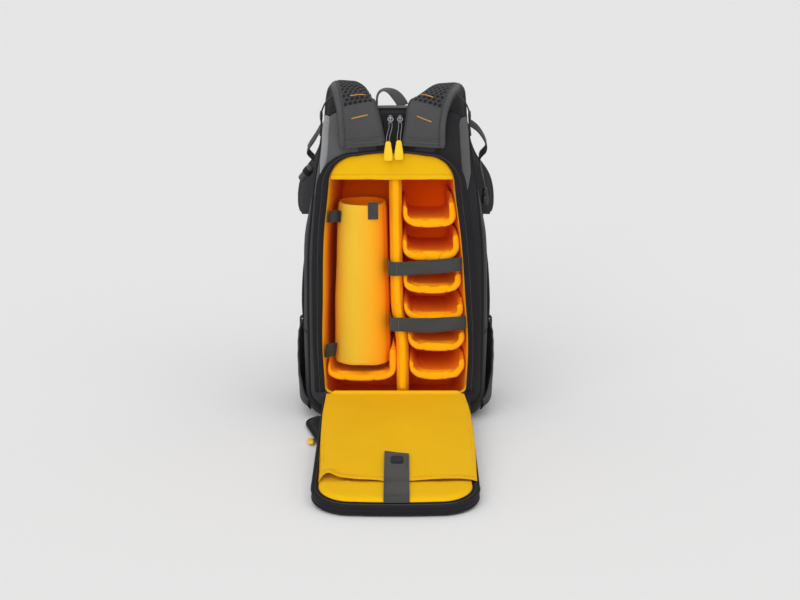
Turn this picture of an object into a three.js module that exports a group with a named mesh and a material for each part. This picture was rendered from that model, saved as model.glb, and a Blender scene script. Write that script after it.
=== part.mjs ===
// Camera backpack, upright, with the harness-side panel unzipped and lying
// forward. Millimetres, +Z up. The harness side faces -Y and the front of the
// bag faces +Y. The origin is the centre of the base.
import * as THREE from 'three';

// ---------------------------------------------------------------- dimensions
const REAR_Y = -97;        // plane of the harness side, round the opening
const WALL = 4;            // padded cloth wall of the outer bag
const PAD = 8;             // padding of the camera compartment
const GAP = 0.5;           // clearance between touching pieces
const RIM_T = 6;           // how far the zip band stands off the rear plane
const FLAP_Y = -104;       // fold line of the open panel
const FLAP_Z = 51;
const FLAP_TILT = 4.8;     // degrees, down to the floor
const FLAP_LEN = 394;
const FLAP_X = 1;            // the open panel lies a little to the right
const FLAP_HALF = 118.5;
const SLEEVE_HALF = 109.5;
const FLAP_T = 18;
const FLAP_R = 58;         // corner radius at the free end
const SWAY = 6;            // lean of the opening to the left at its top
const DIV_T = 18;          // centre divider thickness
const SHELF_T = 9;
const WING_T = 5;
const WEB_T = 1.8;         // webbing thickness
const SLEEVE_END = 328;

// outer bag, a row for each depth: bottom, top, half width, corner radii, crown
const BODY = [
  { y: -97, zb: 40, zt: 506, w: 137, rb: 26, rt: 26, crown: 2 },
  { y: -93, zb: 27, zt: 511, w: 140, rb: 30, rt: 32, crown: 2 },
  { y: -84, zb: 11, zt: 513, w: 144.5, rb: 34, rt: 40, crown: 3 },
  { y: -70, zb: 2, zt: 513, w: 149, rb: 36, rt: 46, crown: 3 },
  { y: -50, zb: 0, zt: 512, w: 152, rb: 36, rt: 52, crown: 3 },
  { y: 0, zb: 0, zt: 507, w: 153.5, rb: 36, rt: 56, crown: 3 },
  { y: 50, zb: 0, zt: 502, w: 151.5, rb: 36, rt: 56, crown: 3 },
  { y: 80, zb: 3, zt: 493, w: 146, rb: 38, rt: 56, crown: 3 },
  { y: 98, zb: 14, zt: 478, w: 136, rb: 42, rt: 54, crown: 3 },
  { y: 108, zb: 34, zt: 459, w: 121, rb: 46, rt: 50, crown: 2 },
  { y: 113, zb: 60, zt: 433, w: 98, rb: 48, rt: 46, crown: 1 },
];
// share of the half width at each height
const BODY_SIDE = [
  { z: 0, f: 0.985 }, { z: 60, f: 0.995 }, { z: 180, f: 1 }, { z: 270, f: 0.99 },
  { z: 340, f: 0.955 }, { z: 400, f: 0.915 }, { z: 440, f: 0.868 }, { z: 480, f: 0.828 }, { z: 520, f: 0.81 },
];
// the sides swell past the rear panel's width, less so near the top
const BODY_SWELL = [
  { z: 0, f: 1 }, { z: 300, f: 1 }, { z: 350, f: 0.7 }, { z: 400, f: 0.3 }, { z: 450, f: 0.15 }, { z: 520, f: 0.1 },
];
// hollow of the camera compartment
const CAVITY = [
  { y: -97, zb: 51, zt: 441, w: 118, rb: 14, rt: 44, crown: 5 },
  { y: -90, zb: 51, zt: 442, w: 117.5, rb: 14, rt: 44, crown: 5 },
  { y: -80, zb: 37, zt: 443, w: 117, rb: 14, rt: 44, crown: 4 },
  { y: -69, zb: 20, zt: 443, w: 116, rb: 14, rt: 44, crown: 3 },
  { y: -20, zb: 20, zt: 441, w: 110.5, rb: 14, rt: 42, crown: 3 },
  { y: 50, zb: 20, zt: 434, w: 102, rb: 14, rt: 40, crown: 2 },
];
const CAVITY_SIDE = [
  { z: 20, f: 0.96 }, { z: 60, f: 0.975 }, { z: 131, f: 1 }, { z: 212, f: 0.97 },
  { z: 291, f: 0.937 }, { z: 330, f: 0.907 }, { z: 368, f: 0.865 }, { z: 407, f: 0.83 },
  { z: 450, f: 0.8 },
];
const RIM = { y: -97, zb: 51, zt: 447, w: 134.3, rb: 3, rt: 62, crown: 4 };
const RIM_SIDE = [
  { z: 50, f: 0.985 }, { z: 141, f: 1 }, { z: 212, f: 0.99 }, { z: 291, f: 0.96 },
  { z: 339, f: 0.93 }, { z: 387, f: 0.893 }, { z: 450, f: 0.85 },
];
// cross dividers of the right column: lip height, sag, wing heights
const SHELVES = [
  { name: 'shelf_1', z: 339, sag: 3, wingIn: 26, wingOut: 36 },
  { name: 'shelf_2', z: 286, sag: 3, wingIn: 26, wingOut: 34 },
  { name: 'shelf_3', z: 231, sag: 3, wingIn: 24, wingOut: 26 },
  { name: 'shelf_4', z: 184, sag: 3, wingIn: 22, wingOut: 24 },
  { name: 'shelf_5', z: 135, sag: 3, wingIn: 22, wingOut: 24 },
  { name: 'shelf_6', z: 87, sag: 3, wingIn: 22, wingOut: 26 },
];
// shoulder strap centre line, for the left strap
const STRAP_LEFT = [
  { x: -49, y: -106.5, z: 457, width: 66, thick: 9 },
  { x: -52, y: -109, z: 488, width: 61, thick: 11 },
  { x: -57, y: -105, z: 516, width: 56, thick: 13 },
  { x: -62.5, y: -89, z: 536, width: 56, thick: 14 },
  { x: -67, y: -60, z: 545, width: 58, thick: 14 },
  { x: -70, y: -18, z: 545, width: 60, thick: 14 },
  { x: -76, y: 32, z: 538, width: 60, thick: 14 },
  { x: -84, y: 76, z: 524, width: 60, thick: 14 },
  { x: -90, y: 108, z: 499, width: 59, thick: 14 },
  { x: -94, y: 125, z: 466, width: 58, thick: 14 },
  { x: -102, y: 130, z: 434, width: 54, thick: 13 },
  { x: -118, y: 131, z: 402, width: 47, thick: 13 },
  { x: -138, y: 128, z: 366, width: 54, thick: 12 },
  { x: -145, y: 124, z: 330, width: 50, thick: 11 },
  { x: -145, y: 122, z: 309, width: 38, thick: 8 },
];
// the right strap's own places, and how much lower it lies over the top
const STRAP_RIGHT_X = [41.6, 43.8, 47.5, 56, 67, 74, 80, 86, 90, 94, 102, 118, 138, 145, 145];
const STRAP_RIGHT_DROP = [0, 0, 1, 3, 4, 4, 3, 2, 1, 0, 0, 0, 0, 0, 0];

// ------------------------------------------------------------------- helpers
const clamp = (v, a, b) => Math.min(b, Math.max(a, v));
const lerp = (a, b, t) => a + (b - a) * t;
const smooth = (t) => { const c = clamp(t, 0, 1); return c * c * (3 - 2 * c); };
function look(rows, key, col, k) {
  if (k <= rows[0][key]) return rows[0][col];
  for (let i = 1; i < rows.length; i++) {
    if (k <= rows[i][key]) {
      const a = rows[i - 1], b = rows[i];
      return lerp(a[col], b[col], (k - a[key]) / (b[key] - a[key]));
    }
  }
  return rows[rows.length - 1][col];
}
function station(rows, y) {
  const s = { y };
  for (const c of ['zb', 'zt', 'w', 'rb', 'rt', 'crown']) s[c] = look(rows, 'y', c, y);
  return s;
}
const swayAt = (y, z) => -SWAY * smooth((z - 80) / 320) * clamp((40 - y) / 137, 0, 1);
const half = (rows, s, z) => (rows === BODY_SIDE && s.w > 137
  ? 137 * look(rows, 'z', 'f', z) + (s.w - 137) * look(BODY_SWELL, 'z', 'f', z)
  : s.w * look(rows, 'z', 'f', z));

// half of an outline, from the bottom centre up to the top centre, as [x, z]
function halfOutline(s, side, grow) {
  const zb = s.zb - grow, zt = s.zt + grow, hw = (z) => half(side, s, z) + grow;
  const rb = Math.max(2, s.rb + grow), rt = Math.max(2, s.rt + grow);
  const pts = [];
  const xb = hw(zb + rb) - rb, xt = hw(zt - rt) - rt;
  for (let i = 0; i < 3; i++) pts.push([xb * i / 3, zb]);
  for (let i = 0; i < 4; i++) {
    const a = -Math.PI / 2 + (Math.PI / 2) * i / 4;
    pts.push([xb + rb * Math.cos(a), zb + rb + rb * Math.sin(a)]);
  }
  for (let i = 0; i < 8; i++) {
    const z = lerp(zb + rb, zt - rt, i / 8);
    pts.push([hw(z), z]);
  }
  for (let i = 0; i < 5; i++) {
    const a = (Math.PI / 2) * i / 5;
    pts.push([xt + rt * Math.cos(a), zt - rt + rt * Math.sin(a)]);
  }
  for (let i = 0; i <= 3; i++) {
    const x = xt * (1 - i / 3);
    pts.push([x, zt + s.crown * (1 - (x / xt) ** 2)]);
  }
  return pts;
}
// a whole outline as a ring of points at one depth
function ring(s, side, grow, y = s.y, lean = 1) {
  const r = halfOutline(s, side, grow);
  const all = r.concat(r.slice(1, -1).reverse().map(([x, z]) => [-x, z]));
  return all.map(([x, z]) => [x + lean * swayAt(y, z), y, z]);
}

function geometry(pos, tri) {
  const g = new THREE.BufferGeometry();
  let vol = 0;
  for (const [a, b, c] of tri) {
    const p = pos[a], q = pos[b], r = pos[c];
    vol += p[0] * (q[1] * r[2] - q[2] * r[1]) + p[1] * (q[2] * r[0] - q[0] * r[2]) + p[2] * (q[0] * r[1] - q[1] * r[0]);
  }
  const idx = [];
  for (const [a, b, c] of tri) vol > 0 ? idx.push(a, b, c) : idx.push(a, c, b);
  g.setAttribute('position', new THREE.Float32BufferAttribute(pos.flat(), 3));
  g.setIndex(idx);
  g.computeVertexNormals();
  return g;
}
// flat cap over a ring, its triangles turned the ring's own way
function capTriangles(r, base) {
  let n = [0, 0, 0];
  for (let i = 0; i < r.length; i++) {
    const a = r[i], b = r[(i + 1) % r.length];
    n[0] += (a[1] - b[1]) * (a[2] + b[2]);
    n[1] += (a[2] - b[2]) * (a[0] + b[0]);
    n[2] += (a[0] - b[0]) * (a[1] + b[1]);
  }
  const m = n.map(Math.abs), k = m.indexOf(Math.max(...m));
  const u = (k + 1) % 3, v = (k + 2) % 3;
  const flat = r.map((p) => new THREE.Vector2(p[u], p[v]));
  const area = THREE.ShapeUtils.area(flat);
  return THREE.ShapeUtils.triangulateShape(flat, []).map(([a, b, c]) => {
    const s = (flat[b].x - flat[a].x) * (flat[c].y - flat[a].y) - (flat[c].x - flat[a].x) * (flat[b].y - flat[a].y);
    return s * area > 0 ? [a + base, b + base, c + base] : [a + base, c + base, b + base];
  });
}
// skin through rings of equal length, capped at both ends or closed on itself
function loft(rings, loop = false) {
  const n = rings[0].length, pos = rings.flat(), tri = [];
  const last = loop ? rings.length : rings.length - 1;
  for (let i = 0; i < last; i++) {
    const a0 = i * n, b0 = ((i + 1) % rings.length) * n;
    for (let j = 0; j < n; j++) {
      const k = (j + 1) % n;
      tri.push([a0 + j, a0 + k, b0 + k], [a0 + j, b0 + k, b0 + j]);
    }
  }
  if (!loop) {
    tri.push(...capTriangles(rings[0], 0).map(([a, b, c]) => [a, c, b]));
    tri.push(...capTriangles(rings[rings.length - 1], (rings.length - 1) * n));
  }
  return geometry(pos, tri);
}
// sheet between two height functions over a grid of n by m cells
function quilt(n, m, under, over) {
  const rings = [];
  for (let i = 0; i <= n; i++) {
    const r = [];
    for (let j = 0; j <= m; j++) r.push(under(i / n, j / m));
    for (let j = m; j >= 0; j--) r.push(over(i / n, j / m));
    rings.push(r);
  }
  return loft(rings);
}
// strap along rows of x, y, z, width and thick; across gives the width direction
function strap(rows, steps, across, sides = 4) {
  const curve = new THREE.CatmullRomCurve3(rows.map((r) => new THREE.Vector3(r.x, r.y, r.z)), false, 'centripetal');
  const rings = [];
  for (let i = 0; i <= steps; i++) {
    const t = i / steps, p = curve.getPoint(t), d = curve.getTangent(t);
    const f = t * (rows.length - 1), k = Math.min(rows.length - 2, Math.floor(f)), u = f - k;
    const w = lerp(rows[k].width, rows[k + 1].width, u) / 2;
    const h = lerp(rows[k].thick, rows[k + 1].thick, u) / 2;
    const a = new THREE.Vector3(...across(t));
    a.addScaledVector(d, -a.dot(d)).normalize();
    const nrm = new THREE.Vector3().crossVectors(d, a);
    const r = [];
    if (sides === 4) {
      for (const [e, g] of [[1, 1], [-1, 1], [-1, -1], [1, -1]]) {
        const q = p.clone().addScaledVector(a, e * w).addScaledVector(nrm, g * h);
        r.push([q.x, q.y, q.z]);
      }
    } else {
      for (let j = 0; j < sides; j++) {
        const b = 2 * Math.PI * (j + 0.5) / sides, c = Math.cos(b), s = Math.sin(b);
        const q = p.clone().addScaledVector(a, w * Math.sign(c) * Math.abs(c) ** 0.45)
          .addScaledVector(nrm, h * Math.sign(s) * Math.abs(s) ** 0.6);
        r.push([q.x, q.y, q.z]);
      }
    }
    rings.push(r);
  }
  return loft(rings);
}
// padded block with rounded long edges, centred, sizes along x, y, z
function block(x, y, z, r) {
  const s = new THREE.Shape();
  const a = x / 2, b = z / 2;
  s.moveTo(-a + r, -b);
  s.lineTo(a - r, -b); s.absarc(a - r, -b + r, r, -Math.PI / 2, 0);
  s.lineTo(a, b - r); s.absarc(a - r, b - r, r, 0, Math.PI / 2);
  s.lineTo(-a + r, b); s.absarc(-a + r, b - r, r, Math.PI / 2, Math.PI);
  s.lineTo(-a, -b + r); s.absarc(-a + r, -b + r, r, Math.PI, 1.5 * Math.PI);
  const g = new THREE.ExtrudeGeometry(s, { depth: y, bevelEnabled: false, curveSegments: 3, steps: 1 });
  g.translate(0, 0, -y / 2);
  g.rotateX(Math.PI / 2);
  return g;
}

// ----------------------------------------------------------------- materials
const COLOURS = {
  shell: [0x3a393d, 0.9], rim: [0x232026, 0.85], liner: [0xe8b018, 0.8],
  webbing: [0x46464a, 0.85], black: [0x1c1b1e, 0.6], mesh: [0x505054, 0.95],
  pull: [0xf0c81e, 0.5], cord: [0xb8b8b6, 0.8], metal: [0x2a2a2c, 0.4],
};
const root = new THREE.Group();
function add(name, geo, slot, parent = root) {
  const [color, roughness] = COLOURS[slot];
  const m = new THREE.Mesh(geo, new THREE.MeshStandardMaterial({
    color, roughness, metalness: slot === 'metal' ? 0.7 : 0,
  }));
  m.name = name;
  parent.add(m);
  return m;
}

// ---------------------------------------------------------------- outer bag
{
  const inner = BODY.filter((s) => ![-97, 108].includes(s.y)).map((s) => {
    const y = Math.min(s.y, 113 - WALL);
    return ring(s, BODY_SIDE, -WALL, y, 0);
  }).reverse();
  const mouth = PAD + 1.2;
  const lip = [ring(CAVITY[0], CAVITY_SIDE, mouth, -93), ring(CAVITY[0], CAVITY_SIDE, mouth, REAR_Y)];
  const outer = BODY.map((s) => ring(s, BODY_SIDE, 0, s.y, 0));
  add('body_shell', loft([...inner, ...lip, ...outer]), 'shell');
}
{
  const inner = CAVITY.map((s) => ring(s, CAVITY_SIDE, 0)).reverse();
  const outer = CAVITY.map((s, i) => ring(s, CAVITY_SIDE, PAD, i === CAVITY.length - 1 ? s.y + PAD : s.y));
  add('liner', loft([...inner, ...outer]), 'liner');
}
// zip band: the ground between the opening's edge and the rim's outer edge
{
  const a = halfOutline({ ...CAVITY[0], rb: 3 }, CAVITY_SIDE, 0.4).slice(7);
  const b = halfOutline(RIM, RIM_SIDE, 0).slice(7);
  const full = (r) => [...r, ...r.slice(0, -1).reverse().map(([x, z]) => [-x, z])];
  const A = full(a), B = full(b), y0 = REAR_Y - 0.4, y1 = REAR_Y - RIM_T;
  const rings = A.map((p, i) => {
    const q = B[i];
    const at = (t, y) => {
      const z = lerp(p[1], q[1], t);
      return [lerp(p[0], q[0], t) + swayAt(REAR_Y, z), y, z];
    };
    return [at(0, y0), at(0.06, lerp(y0, y1, 0.7)), at(0.3, y1), at(0.7, y1), at(0.94, lerp(y0, y1, 0.7)), at(1, y0)];
  });
  add('opening_rim', loft(rings), 'rim');
}

// ------------------------------------------------------------ inner dividers
const wallX = (side, y, z) => side * half(CAVITY_SIDE, station(CAVITY, y), z) + swayAt(y, z);
const divX = (z) => 4.9 - 0.0128 * z + 8 * smooth((205 - z) / 85);
{
  const rows = [
    { y: -92.5, zb: 52.5, zt: 440 }, { y: -89.6, zb: 52.2, zt: 440 }, { y: -79.6, zb: 38, zt: 439 },
    { y: -68.4, zb: 20.6, zt: 438 }, { y: 49.4, zb: 20.6, zt: 431 },
  ];
  const rings = rows.map((r) => {
    const out = [];
    for (const z of [r.zb, 115, 135, 155, 175, 200, 300, r.zt]) out.push([divX(z) + DIV_T / 2, r.y, z]);
    for (const z of [r.zt, 300, 200, 175, 155, 135, 115, r.zb]) out.push([divX(z) - DIV_T / 2, r.y, z]);
    return out;
  });
  add('centre_divider', loft(rings), 'liner');
}
// U-shaped cross divider between two walls
function crossDivider(left, right, z, sag, wingL, wingR, depths) {
  const rings = depths.map((y) => {
    const L = (h) => left(y, z + h) + 1.2, R = (h) => right(y, z + h) - 1.2;
    const mid = (L(0) + R(0)) / 2, b = -SHELF_T;
    const q = (R(0) - L(0)) / 4;
    const p = [
      [L(b) + 2, b], [mid - q, b - sag * 0.75], [mid, b - sag], [mid + q, b - sag * 0.75], [R(b) - 2, b],
      [R(0), 1], [R(wingR), wingR], [R(wingR) - WING_T, wingR], [R(3) - WING_T, 3],
      [mid + q, -sag * 0.75], [mid, -sag], [mid - q, -sag * 0.75],
      [L(3) + WING_T, 3], [L(wingL) + WING_T, wingL], [L(wingL), wingL], [L(0), 1],
    ];
    return p.map(([x, h]) => [x, y, z + h]);
  });
  return loft(rings);
}
for (const s of SHELVES) {
  add(s.name, crossDivider((y, z) => divX(z) + DIV_T / 2, (y, z) => wallX(1, y, z),
    s.z, s.sag, s.wingIn, s.wingOut, [-90, -55, 0, 49.4]), 'liner');
}
add('shelf_left', crossDivider((y, z) => wallX(-1, y, z), (y, z) => divX(z) - DIV_T / 2,
  81, 2, 24, 50, [-88, -55, 0, 49.4]), 'liner');

// rolled padded tube in the left column
const WRAP = { x: -54, y: -43, top: 359, bottom: 94, wall: 9 };
const WRAP_ROWS = [ // outer half widths at each height
  { z: 94, rx: 46.5, ry: 45 }, { z: 200, rx: 45.3, ry: 45 }, { z: 359, rx: 40, ry: 45 },
];
{
  const hoop = (z, inset) => {
    const r = [], rx = look(WRAP_ROWS, 'z', 'rx', z) - inset, ry = look(WRAP_ROWS, 'z', 'ry', z) - inset;
    for (let i = 0; i < 28; i++) {
      const a = 2 * Math.PI * i / 28;
      r.push([WRAP.x + rx * Math.cos(a), WRAP.y + ry * Math.sin(a), z]);
    }
    return r;
  };
  const zs = [WRAP.bottom, 200, WRAP.top];
  add('lens_wrap', loft([
    ...zs.map((z) => hoop(z, 0)), hoop(WRAP.top + 2, 2.5), hoop(WRAP.top + 2, WRAP.wall - 2.5),
    ...zs.slice().reverse().map((z) => hoop(z, WRAP.wall)),
  ], true), 'liner');
}
const wrapFront = (x, z, off) => WRAP.y - (look(WRAP_ROWS, 'z', 'ry', z) + off)
  * Math.sqrt(1 - ((x - WRAP.x) / (look(WRAP_ROWS, 'z', 'rx', z) + off)) ** 2);
{
  // folded over the tube's top edge
  const rings = [-44, -38.5, -33, -27.5].map((x) => {
    const f = wrapFront(x, 350, 0.6), g = wrapFront(x, 337, 0.6);
    const p = [[f, 361.6], [f + 12, 361.6], [f + 12, 363.4], [f - 1.6, 363.4], [g - 1.8, 337], [g, 337]];
    return p.map(([y, z]) => [x, y, z]);
  });
  add('wrap_tab', loft(rings), 'webbing');
}
function wrapStrap(z0, z1, tilt, x1) {
  const xs = [-1, -0.5, 0, 1];
  const rings = xs.map((k, i) => {
    const x0 = wallX(-1, -90, (z0 + z1) / 2) + 2.2, x = lerp(x0, x1, i / 3);
    const y = lerp(-91, wrapFront(x1, z0, 2.6), (i / 3) ** 1.6);
    const d = tilt * (i / 3);
    return [[x, y, z0 + d], [x, y + WEB_T, z0 + d], [x, y + WEB_T, z1 + d], [x, y, z1 + d]];
  });
  return loft(rings);
}
add('wrap_strap_upper', wrapStrap(334, 353, -4, -91), 'black');
add('wrap_strap_lower', wrapStrap(110, 132, -6, -99), 'black');

// webbing across the right column, wrapped round the divider's front edge
function gearStrap(zl, zm, zr, high) {
  const xd = divX(zl + high / 2);
  const rows = [
    { x: xd - 12, y: -66, z: zl }, { x: xd - 12, y: -84, z: zl },
    { x: xd - 10.6, y: -93.6, z: zl }, { x: xd + 4, y: -95.4, z: zl + 0.5 },
    { x: 40, y: -95.6, z: zm }, { x: 80, y: -95.6, z: lerp(zm, zr, 0.6) },
    { x: wallX(1, -94, zr) - 1.6, y: -94.4, z: zr },
  ].map((r) => ({ ...r, width: high, thick: WEB_T }));
  return strap(rows, 24, () => [0, 0, 1]);
}
add('gear_strap_upper', gearStrap(258.5, 261, 266.5, 22.5), 'webbing');
add('gear_strap_lower', gearStrap(166, 165, 169, 23.5), 'webbing');

// cloth strip over the top of the opening
{
  const n = 14, zLow = 403.5;
  const top = (x) => {
    const r = halfOutline(station(CAVITY, -94), CAVITY_SIDE, -0.8).slice(7);
    const s = x - swayAt(-94, 430);
    let z = r[0][1];
    for (let i = 1; i < r.length; i++) {
      if (Math.abs(s) <= r[i - 1][0] && Math.abs(s) >= r[i][0]) {
        z = lerp(r[i - 1][1], r[i][1], (r[i - 1][0] - Math.abs(s)) / (r[i - 1][0] - r[i][0] + 1e-9));
      }
    }
    return z;
  };
  const x0 = wallX(-1, -94, 404) + 1.6, x1 = wallX(1, -94, 404) - 1.6;
  add('top_valance', quilt(n, 1,
    (u, v) => { const x = lerp(x0, x1, u); return [x, -93.6, lerp(zLow, Math.max(zLow + 1, top(x) - 0.5), v)]; },
    (u, v) => { const x = lerp(x0, x1, u); return [x, -96, lerp(zLow, Math.max(zLow + 1, top(x) - 0.5), v)]; }), 'liner');
}

// ---------------------------------------------------------------- open panel
const flap = new THREE.Group();
flap.position.set(FLAP_X, FLAP_Y, FLAP_Z);
flap.rotation.x = THREE.MathUtils.degToRad(FLAP_TILT);
root.add(flap);
// outline in the panel's plane, y runs from the fold to the free end
function flapRing(inset, z, from = 0) {
  const h = FLAP_HALF - inset, r = FLAP_R - inset, e = FLAP_LEN - inset;
  const p = [];
  for (let i = 0; i <= 5; i++) p.push([lerp(-h + 3, h - 3, i / 5), -from]);
  for (let i = 0; i < 6; i++) p.push([h - 0.4 * (i / 6), -lerp(from + 3, e - r, i / 6)]);
  for (let i = 0; i <= 7; i++) {
    const a = (Math.PI / 2) * i / 7;
    p.push([h - r + r * Math.cos(a), -(e - r + r * Math.sin(a))]);
  }
  for (let i = 1; i <= 3; i++) {
    const x = (h - r) * (1 - i / 4 * 2);
    p.push([x, -(e + 2 * (1 - (x / (h - r)) ** 2))]);
  }
  for (let i = 0; i <= 7; i++) {
    const a = Math.PI / 2 + (Math.PI / 2) * i / 7;
    p.push([-h + r + r * Math.cos(a), -(e - r + r * Math.sin(a))]);
  }
  for (let i = 1; i <= 6; i++) p.push([-h + 0.4 * (i / 6), -lerp(e - r, from + 3, i / 6)]);
  return p.map(([x, y]) => [x, y, z]);
}
add('flap_panel', loft([
  flapRing(6, -FLAP_T), flapRing(1.6, -FLAP_T + 3), flapRing(0, -FLAP_T / 2 - 1), flapRing(1.5, -4.5), flapRing(5, -2.6),
]), 'rim', flap);
add('flap_lining', loft([flapRing(9, -2.2, 1), flapRing(9.6, -0.4, 1)]), 'liner', flap);
// laptop sleeve: sewn at its root and sides, raised a little towards its mouth
const sleeveLift = (x, s) => 7.2 * smooth(s / 210) * clamp(1 - (Math.abs(x) / SLEEVE_HALF) ** 4, 0, 1)
  * (1 - 0.42 * Math.exp(-(((x - 2) / 24) ** 2)));
{
  const at = (u, v, up) => {
    const s = lerp(3, SLEEVE_END, v), x = lerp(-SLEEVE_HALF, SLEEVE_HALF, u);
    return [x, -s, 0.1 + sleeveLift(x, s) + up];
  };
  add('laptop_sleeve', quilt(14, 8, (u, v) => at(u, v, 0), (u, v) => at(u, v, 2)), 'liner', flap);
}
// hook-and-loop tab, from the lining up over the sleeve's mouth
{
  const rows = [
    { s: 384.4, h: 0 }, { s: 350, h: 0 }, { s: 341, h: 2.2 }, { s: 332, h: 7.6 }, { s: 300, h: 8 }, { s: 270, h: 8 }, { s: 243, h: 8 },
  ];
  const rings = rows.map(({ s, h }, i) => {
    const skew = i === rows.length - 1 ? 10 : 0, b = h + 0.5;
    return [[-17, -s, b], [20, -s - skew, b], [20, -s - skew, b + 2], [-17, -s, b + 2]];
  });
  add('sleeve_tab', loft(rings), 'webbing', flap);
}
{
  const g = block(20, 27, 1.4, 0.3);
  g.translate(2, -275, 8 + 0.5 + 2 + 0.3 + 0.7);
  add('tab_badge', g, 'black', flap);
}

// ------------------------------------------------------------------- harness
// the width direction: over the top the edge nearer the middle dips
const strapAcross = (sign) => (t) => [
  1, -0.12 * sign * smooth((t - 0.6) / 0.3), 0.2 * sign * smooth((t - 0.1) / 0.12) * (1 - smooth((t - 0.42) / 0.2)),
];
add('shoulder_strap_left', strap(STRAP_LEFT, 28, strapAcross(-1), 10), 'mesh');
const STRAP_RIGHT = STRAP_LEFT.map((r, i) => ({
  ...r, x: STRAP_RIGHT_X[i], z: r.z - STRAP_RIGHT_DROP[i], width: r.width - (i < 2 ? 5 : 0),
}));
add('shoulder_strap_right', strap(STRAP_RIGHT, 28, strapAcross(1), 10), 'mesh');
// webbing from each strap's end down the front corner to the base
const LOWER_WEB = [
  { x: -142, y: 122, z: 302 }, { x: -146, y: 121, z: 262 }, { x: -152, y: 117, z: 214 },
  { x: -155, y: 110, z: 160 }, { x: -153.5, y: 104, z: 118 }, { x: -151, y: 100, z: 88 }, { x: -149, y: 98, z: 62 },
];
for (const [side, sign] of [['left', 1], ['right', -1]]) {
  const rows = LOWER_WEB.map((r) => ({ ...r, x: r.x * sign, width: 24, thick: WEB_T }));
  add(`strap_webbing_${side}`, strap(rows, 14, () => [1, 0.5 * sign, 0]), 'black');
}
for (const [side, sign] of [['left', -1], ['right', 1]]) {
  const g = block(29, 8, 26, 3);
  g.rotateZ(0.42 * -sign);
  const m = add(`ladder_lock_${side}`, g, 'metal');
  m.position.set(sign * 157.1, 111.7, 118);
}
// short webbing from each strap to the top corner
for (const [side, sign] of [['left', -1], ['right', 1]]) {
  const rows = [
    { x: sign * 102, y: -66, z: 530 }, { x: sign * 111, y: -66, z: 521 }, { x: sign * 117, y: -67, z: 506 },
    { x: sign * 117.4, y: -69, z: 488 }, { x: sign * 119.4, y: -70, z: 470 },
  ].map((r) => ({ ...r, width: 20, thick: WEB_T }));
  add(`load_lifter_${side}`, strap(rows, 8, () => [0, 1, 0]), 'black');
}
add('grab_handle', strap([
  { x: -29, y: -70, z: 519.5 }, { x: -28.5, y: -70, z: 530 }, { x: -25.5, y: -69, z: 537.5 }, { x: -19, y: -68, z: 541.5 },
  { x: -11, y: -67, z: 540.5 }, { x: -3, y: -67, z: 536.5 }, { x: 4.5, y: -68, z: 529.5 }, { x: 10, y: -69, z: 521.5 },
].map((r) => ({ ...r, width: 19, thick: 4.5 })), 18, (t) => [0.5 * smooth((t - 0.35) / 0.4), 1, 0.5 * smooth((t - 0.35) / 0.4)]), 'webbing');

// zip sliders, loops of thin cord and moulded pulls
for (const [side, x, lean, low] of [['left', -7.6, -3.6, 464.5], ['right', 7.4, -1.8, 466]]) {
  const g = block(8.5, 4, 13, 1.5);
  g.translate(x, -102.6, 500);
  add(`zip_slider_${side}`, g, 'metal');
  const y = -107.6, r = 2.3, cx = x + lean;
  const pts = [
    [cx - 2.4, y, low + 0.5], [cx - 2.4, y, low + 8], [x - r, y, 487], [x - r, y, 493.5], [x - r * 0.74, y, 496],
    [x, y, 497.2], [x + r * 0.74, y, 496], [x + r, y, 493.5], [x + r, y, 487], [cx + 2.4, y, low + 8], [cx + 2.4, y, low + 0.5],
  ];
  const path = new THREE.CatmullRomCurve3(pts.map((p) => new THREE.Vector3(...p)), false, 'centripetal');
  const c = new THREE.Shape();
  c.absarc(0, 0, 0.6, 0, 2 * Math.PI);
  add(`pull_cord_${side}`, new THREE.ExtrudeGeometry(c, { steps: 22, extrudePath: path, curveSegments: 4, bevelEnabled: false }), 'cord');
  const s = new THREE.Shape([
    [-4.6, 0], [4.6, 0], [7.1, -20], [7.1, -26], [5.6, -29.5], [2.3, -29.5], [2.3, -26.8], [-2.3, -26.8], [-2.3, -29.5],
    [-5.6, -29.5], [-7.1, -26], [-7.1, -20],
  ].map(([a, b]) => new THREE.Vector2(a, b)));
  const p = new THREE.ExtrudeGeometry(s, { depth: 6, bevelEnabled: false });
  p.rotateX(Math.PI / 2);
  p.translate(cx, -104.6, low);
  add(`zip_pull_${side}`, p, 'pull');
}

// --------------------------------------------------------------------- sides
const bodyX = (y, z) => half(BODY_SIDE, station(BODY, y), z);
const MOUTH = [
  { y: -86, z: 34 }, { y: -70, z: 58 }, { y: -50, z: 84 }, { y: -25, z: 108 }, { y: 10, z: 128 }, { y: 45, z: 137 }, { y: 76, z: 140 },
];
for (const [side, sign] of [['left', -1], ['right', 1]]) {
  const at = (u, v, t) => {
    const y = lerp(-84, 70, u), z0 = 12 + 18 * smooth((-62 - y) / 22), z = lerp(z0, look(MOUTH, 'y', 'z', y), v);
    const bulge = 8.4 * Math.sin(Math.PI * clamp(u, 0, 1)) ** 0.45 * smooth(v / 0.28 + 0.02);
    const x = bodyX(y, Math.max(z, 40)) - cornerIn(y, z) + 1.7 + bulge + t;
    return [sign * x, y, z];
  };
  add(`side_pocket_${side}`, quilt(10, 7, (u, v) => at(u, v, 0), (u, v) => at(u, v, 2)), 'mesh');
}
function cornerIn(y, z) { // how far the rounded bottom corner cuts in
  const s = station(BODY, y), d = s.zb + s.rb - z;
  return d <= 0 ? 0 : s.rb - Math.sqrt(Math.max(0, s.rb ** 2 - d ** 2));
}
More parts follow.
